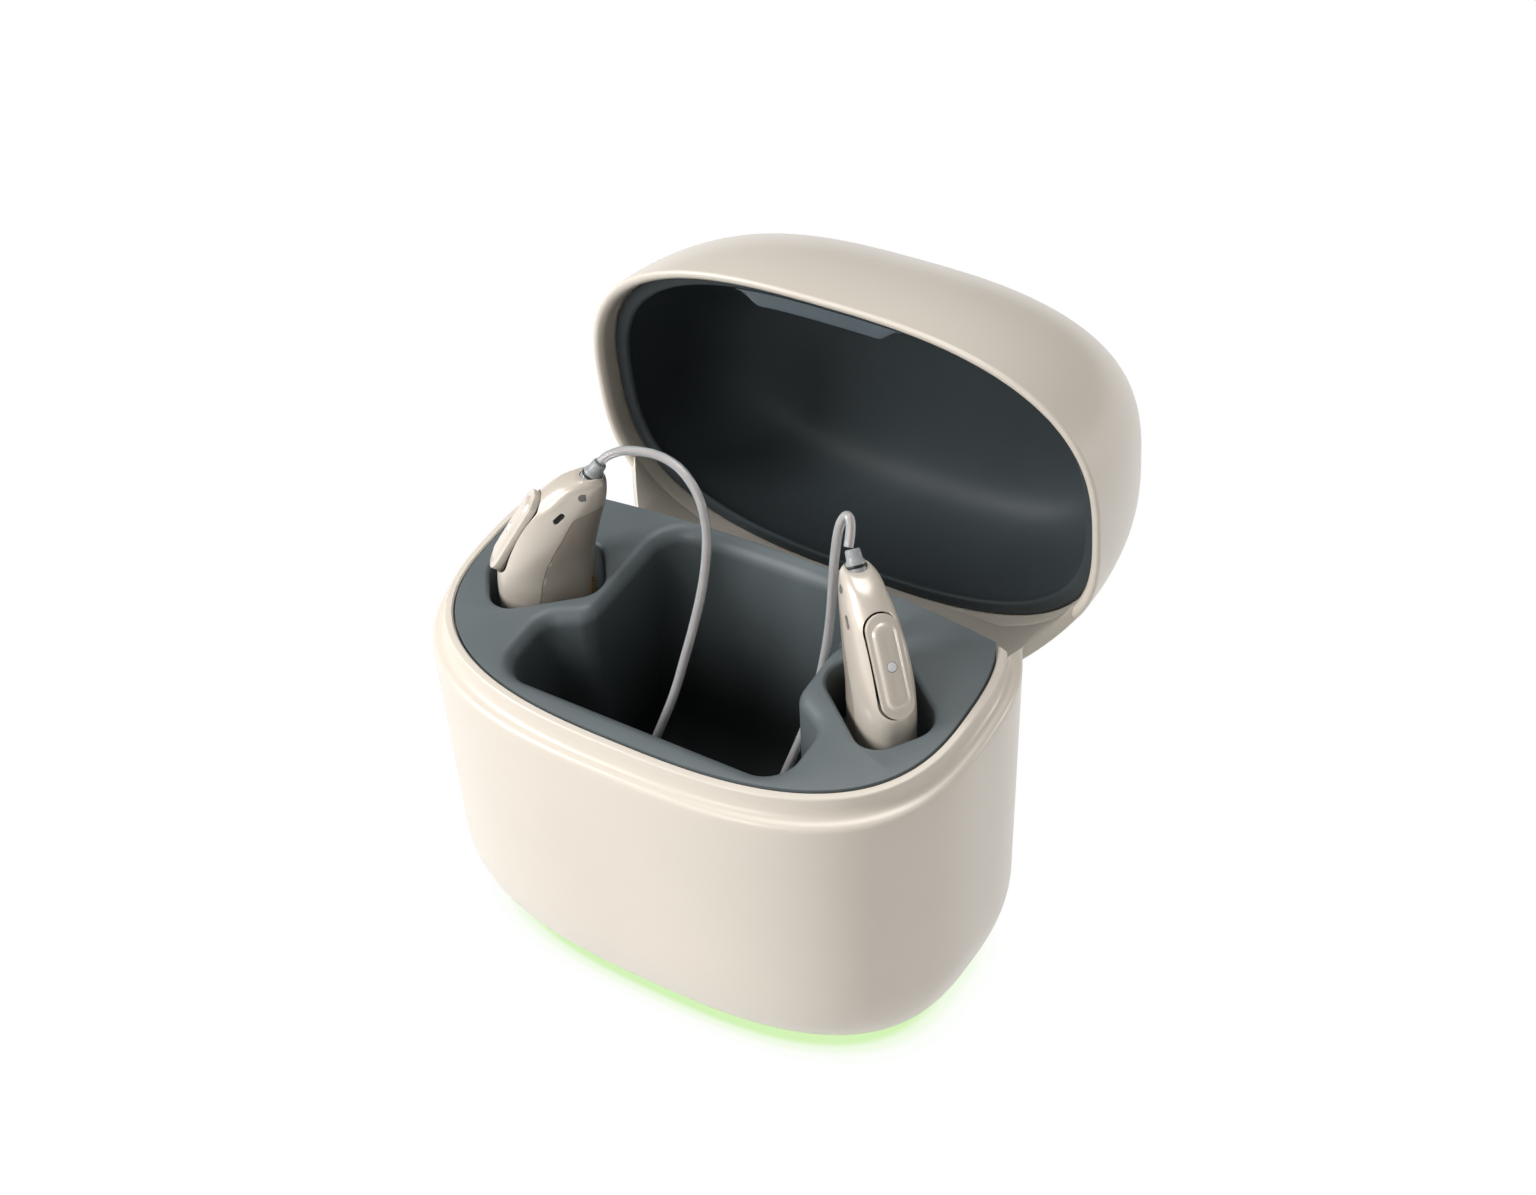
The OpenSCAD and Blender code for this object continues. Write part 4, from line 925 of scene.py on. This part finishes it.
# Tubes: routes from the deck's middle, plug to receiver, as the solids have them
LEFT = [(-19.5, 3.1, 18), (-18.6, 3.9, 18.9), (-16.8, 4.8, 19.7), (-14.2, 5.4, 20.1), (-11.2, 5.7, 20.1),
        (-8.1, 5.4, 19.5), (-5.5, 4.6, 18.1), (-3.7, 3.8, 16.1), (-2.4, 2.7, 13.4), (-1.7, 1.5, 10.8),
        (-1.3, 0, 7.6), (-1.2, -1.6, 4.4), (-1.3, -3.5, 0.8), (-1.7, -5.2, -3), (-2.4, -7.2, -8),
        (-3.6, -9.3, -13), (-5.2, -11, -18), (-7.2, -12.2, -22), (-9.6, -12.8, -25.2), (-12, -13, -27),
        (-14.4, -13, -27.8)]
RIGHT = [(19.5, 3.1, 18), (19.3, 3.9, 19.3), (18.9, 4.7, 20.6), (18.2, 5.2, 21.1), (17.5, 5.2, 20.4),
         (17, 4.8, 18.6), (16.7, 4.3, 15), (16.5, 3.9, 11), (16.4, 3.5, 7), (16.2, 3, 3), (15.9, 2.2, -1),
         (15.6, 1, -5), (15.2, -0.6, -9), (14.5, -2.6, -13), (13.6, -4.8, -17), (12.8, -7.2, -21),
         (12.2, -9.4, -24), (12.2, -11.2, -26.2), (12.9, -12.4, -27.3), (14.2, -12.9, -27.6)]
TUBE_R, WIRE_R = 0.65, 0.14


def on_route(p):
    return p[0] * MM, (p[1] + DECK_Y) * MM, (p[2] + DECK_H) * MM


def curve_piece(name, line, radius, mat):
    data = bpy.data.curves.new(name, "CURVE")
    data.dimensions = "3D"
    data.resolution_u = 8
    data.bevel_depth = radius * MM
    data.bevel_resolution = 6
    data.use_fill_caps = True
    data.materials.append(mat)
    spline = data.splines.new("POLY")
    spline.points.add(len(line) - 1)
    for p, q in zip(spline.points, line):
        p.co = (*on_route(q), 1)
    obj = bpy.data.objects.new(name, data)
    bpy.context.scene.collection.objects.link(obj)
    return obj


def make_tube(name, route):
    line = smooth_line(route, 5)
    wire = curve_piece(name + "_wire", line, WIRE_R, COPPER)
    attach(wire, name + "_aid")
    tube = curve_piece(name + "_clear_tube", line, TUBE_R, CLEAR)
    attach(tube, name + "_aid")
    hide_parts(name + "_tube")


make_tube("left", LEFT)
make_tube("right", RIGHT)


# The rest of the solids keep their shape and get their finish
FINISH = {
    "ivory_shell": IVORY, "slate_plastic": SLATE, "dark_rubber": RUBBER, "steel": STEEL,
    "circuit_board": BOARD, "battery_foil": FOIL, "light_guide": GLOW, "black_plastic": BLACK,
    "gold_contacts": GOLD, "aid_champagne": CHAMPAGNE, "aid_taupe": TAUPE, "lamp_lens": LENS,
    "clear_plastic": FROST, "soft_dome": DOME}
for sub in frame["record"]["subparts"]:
    obj = frame["nodes"][sub["node"]]
    obj.data.materials.clear()
    obj.data.materials.append(FINISH[sub["material_slot"]])


# Floor, lights and world: places and sizes here are in metres, all but the ring's inset
FLOOR_HALF, FLOOR_Z, FLOOR_GREY = 3.0, -0.00002, (0.72, 0.72, 0.72, 1)
# The light ring's glow painted on the floor: the ring's inset, the reach where the painted green starts and
# ends, and its fade
RING_INSET, GLOW_FROM, GLOW_TO = 5.5, 0.96, 1.13
GLOW_FADE = ((0.0, (0.66, 0.90, 0.48, 1)), (0.3, (0.88, 0.97, 0.80, 1)), (0.62, (0.975, 0.995, 0.955, 1)),
             (1.0, (1, 1, 1, 1)))
WORLD_WHITE, WORLD_SOFT, WORLD_STRENGTH = (1.0, 1.0, 1.0, 1), (1.0, 0.98, 0.95, 1), 0.165


def painted_ring_glow(tree):
    """White, with the light ring's glow painted on as a soft green just outside the case's foot."""
    axes = object_axes(tree)
    powers = []
    for axis, half in zip(axes, (HALF_W, HALF_D)):
        share = calculated(tree, "DIVIDE", calculated(tree, "ABSOLUTE", axis, 0), (half - RING_INSET) * MM)
        powers.append(calculated(tree, "POWER", share, POWER))
    reach = calculated(tree, "POWER", calculated(tree, "ADD", *powers), 1 / POWER)
    fade = tree.nodes.new("ShaderNodeValToRGB")
    ramp = fade.color_ramp
    ramp.interpolation = "EASE"
    for place, _ in GLOW_FADE[1:-1]:
        ramp.elements.new(place)
    for stop, (_, color) in zip(ramp.elements, GLOW_FADE):
        stop.color = color
    tree.links.new(spread(tree, reach, GLOW_FROM, GLOW_TO), fade.inputs["Fac"])
    return fade.outputs["Color"]


def mixed(tree, share, first, second, out):
    mix = tree.nodes.new("ShaderNodeMixShader")
    tree.links.new(share, mix.inputs["Fac"])
    tree.links.new(first.outputs[0], mix.inputs[1])
    tree.links.new(second.outputs[0], mix.inputs[2])
    tree.links.new(mix.outputs[0], out.inputs["Surface"])


def make_floor():
    """It shows as white with the light ring's glow painted on, and the object's light and shade come off a
    plain grey.
    """
    h = FLOOR_HALF
    floor = new_mesh("floor", [(-h, -h, 0), (h, -h, 0), (h, h, 0), (-h, h, 0)], [[0, 1, 2, 3]], 1.0)
    floor.location.z = FLOOR_Z
    mat = bpy.data.materials.new("floor")
    mat.use_nodes = True
    tree = mat.node_tree
    tree.nodes.clear()
    out = tree.nodes.new("ShaderNodeOutputMaterial")
    diffuse = tree.nodes.new("ShaderNodeBsdfDiffuse")
    diffuse.inputs["Color"].default_value = FLOOR_GREY
    plain = tree.nodes.new("ShaderNodeEmission")
    plain.inputs["Strength"].default_value = 1.0
    tree.links.new(painted_ring_glow(tree), plain.inputs["Color"])
    path = tree.nodes.new("ShaderNodeLightPath").outputs
    seen = calculated(tree, "MAXIMUM", path["Is Camera Ray"], path["Is Glossy Ray"])
    seen = calculated(tree, "MAXIMUM", seen, path["Is Transmission Ray"])
    mixed(tree, seen, diffuse, plain, out)
    floor.data.materials.append(mat)


def lamp(name, place, target, size, power, color):
    data = bpy.data.lights.new(name, "AREA")
    data.shape = "RECTANGLE"
    data.size, data.size_y = size
    data.energy = power
    data.color = color
    obj = bpy.data.objects.new(name, data)
    obj.location = place
    obj.rotation_euler = (Vector(target) - Vector(place)).to_track_quat("-Z", "Y").to_euler()
    bpy.context.scene.collection.objects.link(obj)


def make_world():
    world = bpy.data.worlds.new("world")
    bpy.context.scene.world = world
    world.use_nodes = True
    tree = world.node_tree
    tree.nodes.clear()
    out = tree.nodes.new("ShaderNodeOutputWorld")
    soft, white = [tree.nodes.new("ShaderNodeBackground") for _ in range(2)]
    soft.inputs["Color"].default_value = WORLD_SOFT
    soft.inputs["Strength"].default_value = WORLD_STRENGTH
    white.inputs["Color"].default_value = WORLD_WHITE
    white.inputs["Strength"].default_value = 1.0
    path = tree.nodes.new("ShaderNodeLightPath").outputs
    mixed(tree, path["Is Camera Ray"], soft, white, out)


make_floor()
lamp("key", (-0.72, -0.62, 0.55), (0, 0, 0.05), (0.3, 0.6), 8.5, (1.0, 0.995, 0.985))
lamp("front", (-0.17, -0.93, 0.55), (0, 0, 0.05), (0.3, 0.4), 2.5, (1.0, 0.99, 0.975))
lamp("top", (-0.05, 0.1, 0.9), (0, 0.02, 0.05), (0.5, 0.4), 2.8, (1, 1, 1))
lamp("side", (0.75, 0.6, 0.1), (0, 0, 0.06), (0.12, 0.6), 2.8, (1.0, 0.965, 0.92))
make_world()
bpy.context.scene.view_settings.view_transform = "Standard"

bpy.context.view_layer.update()
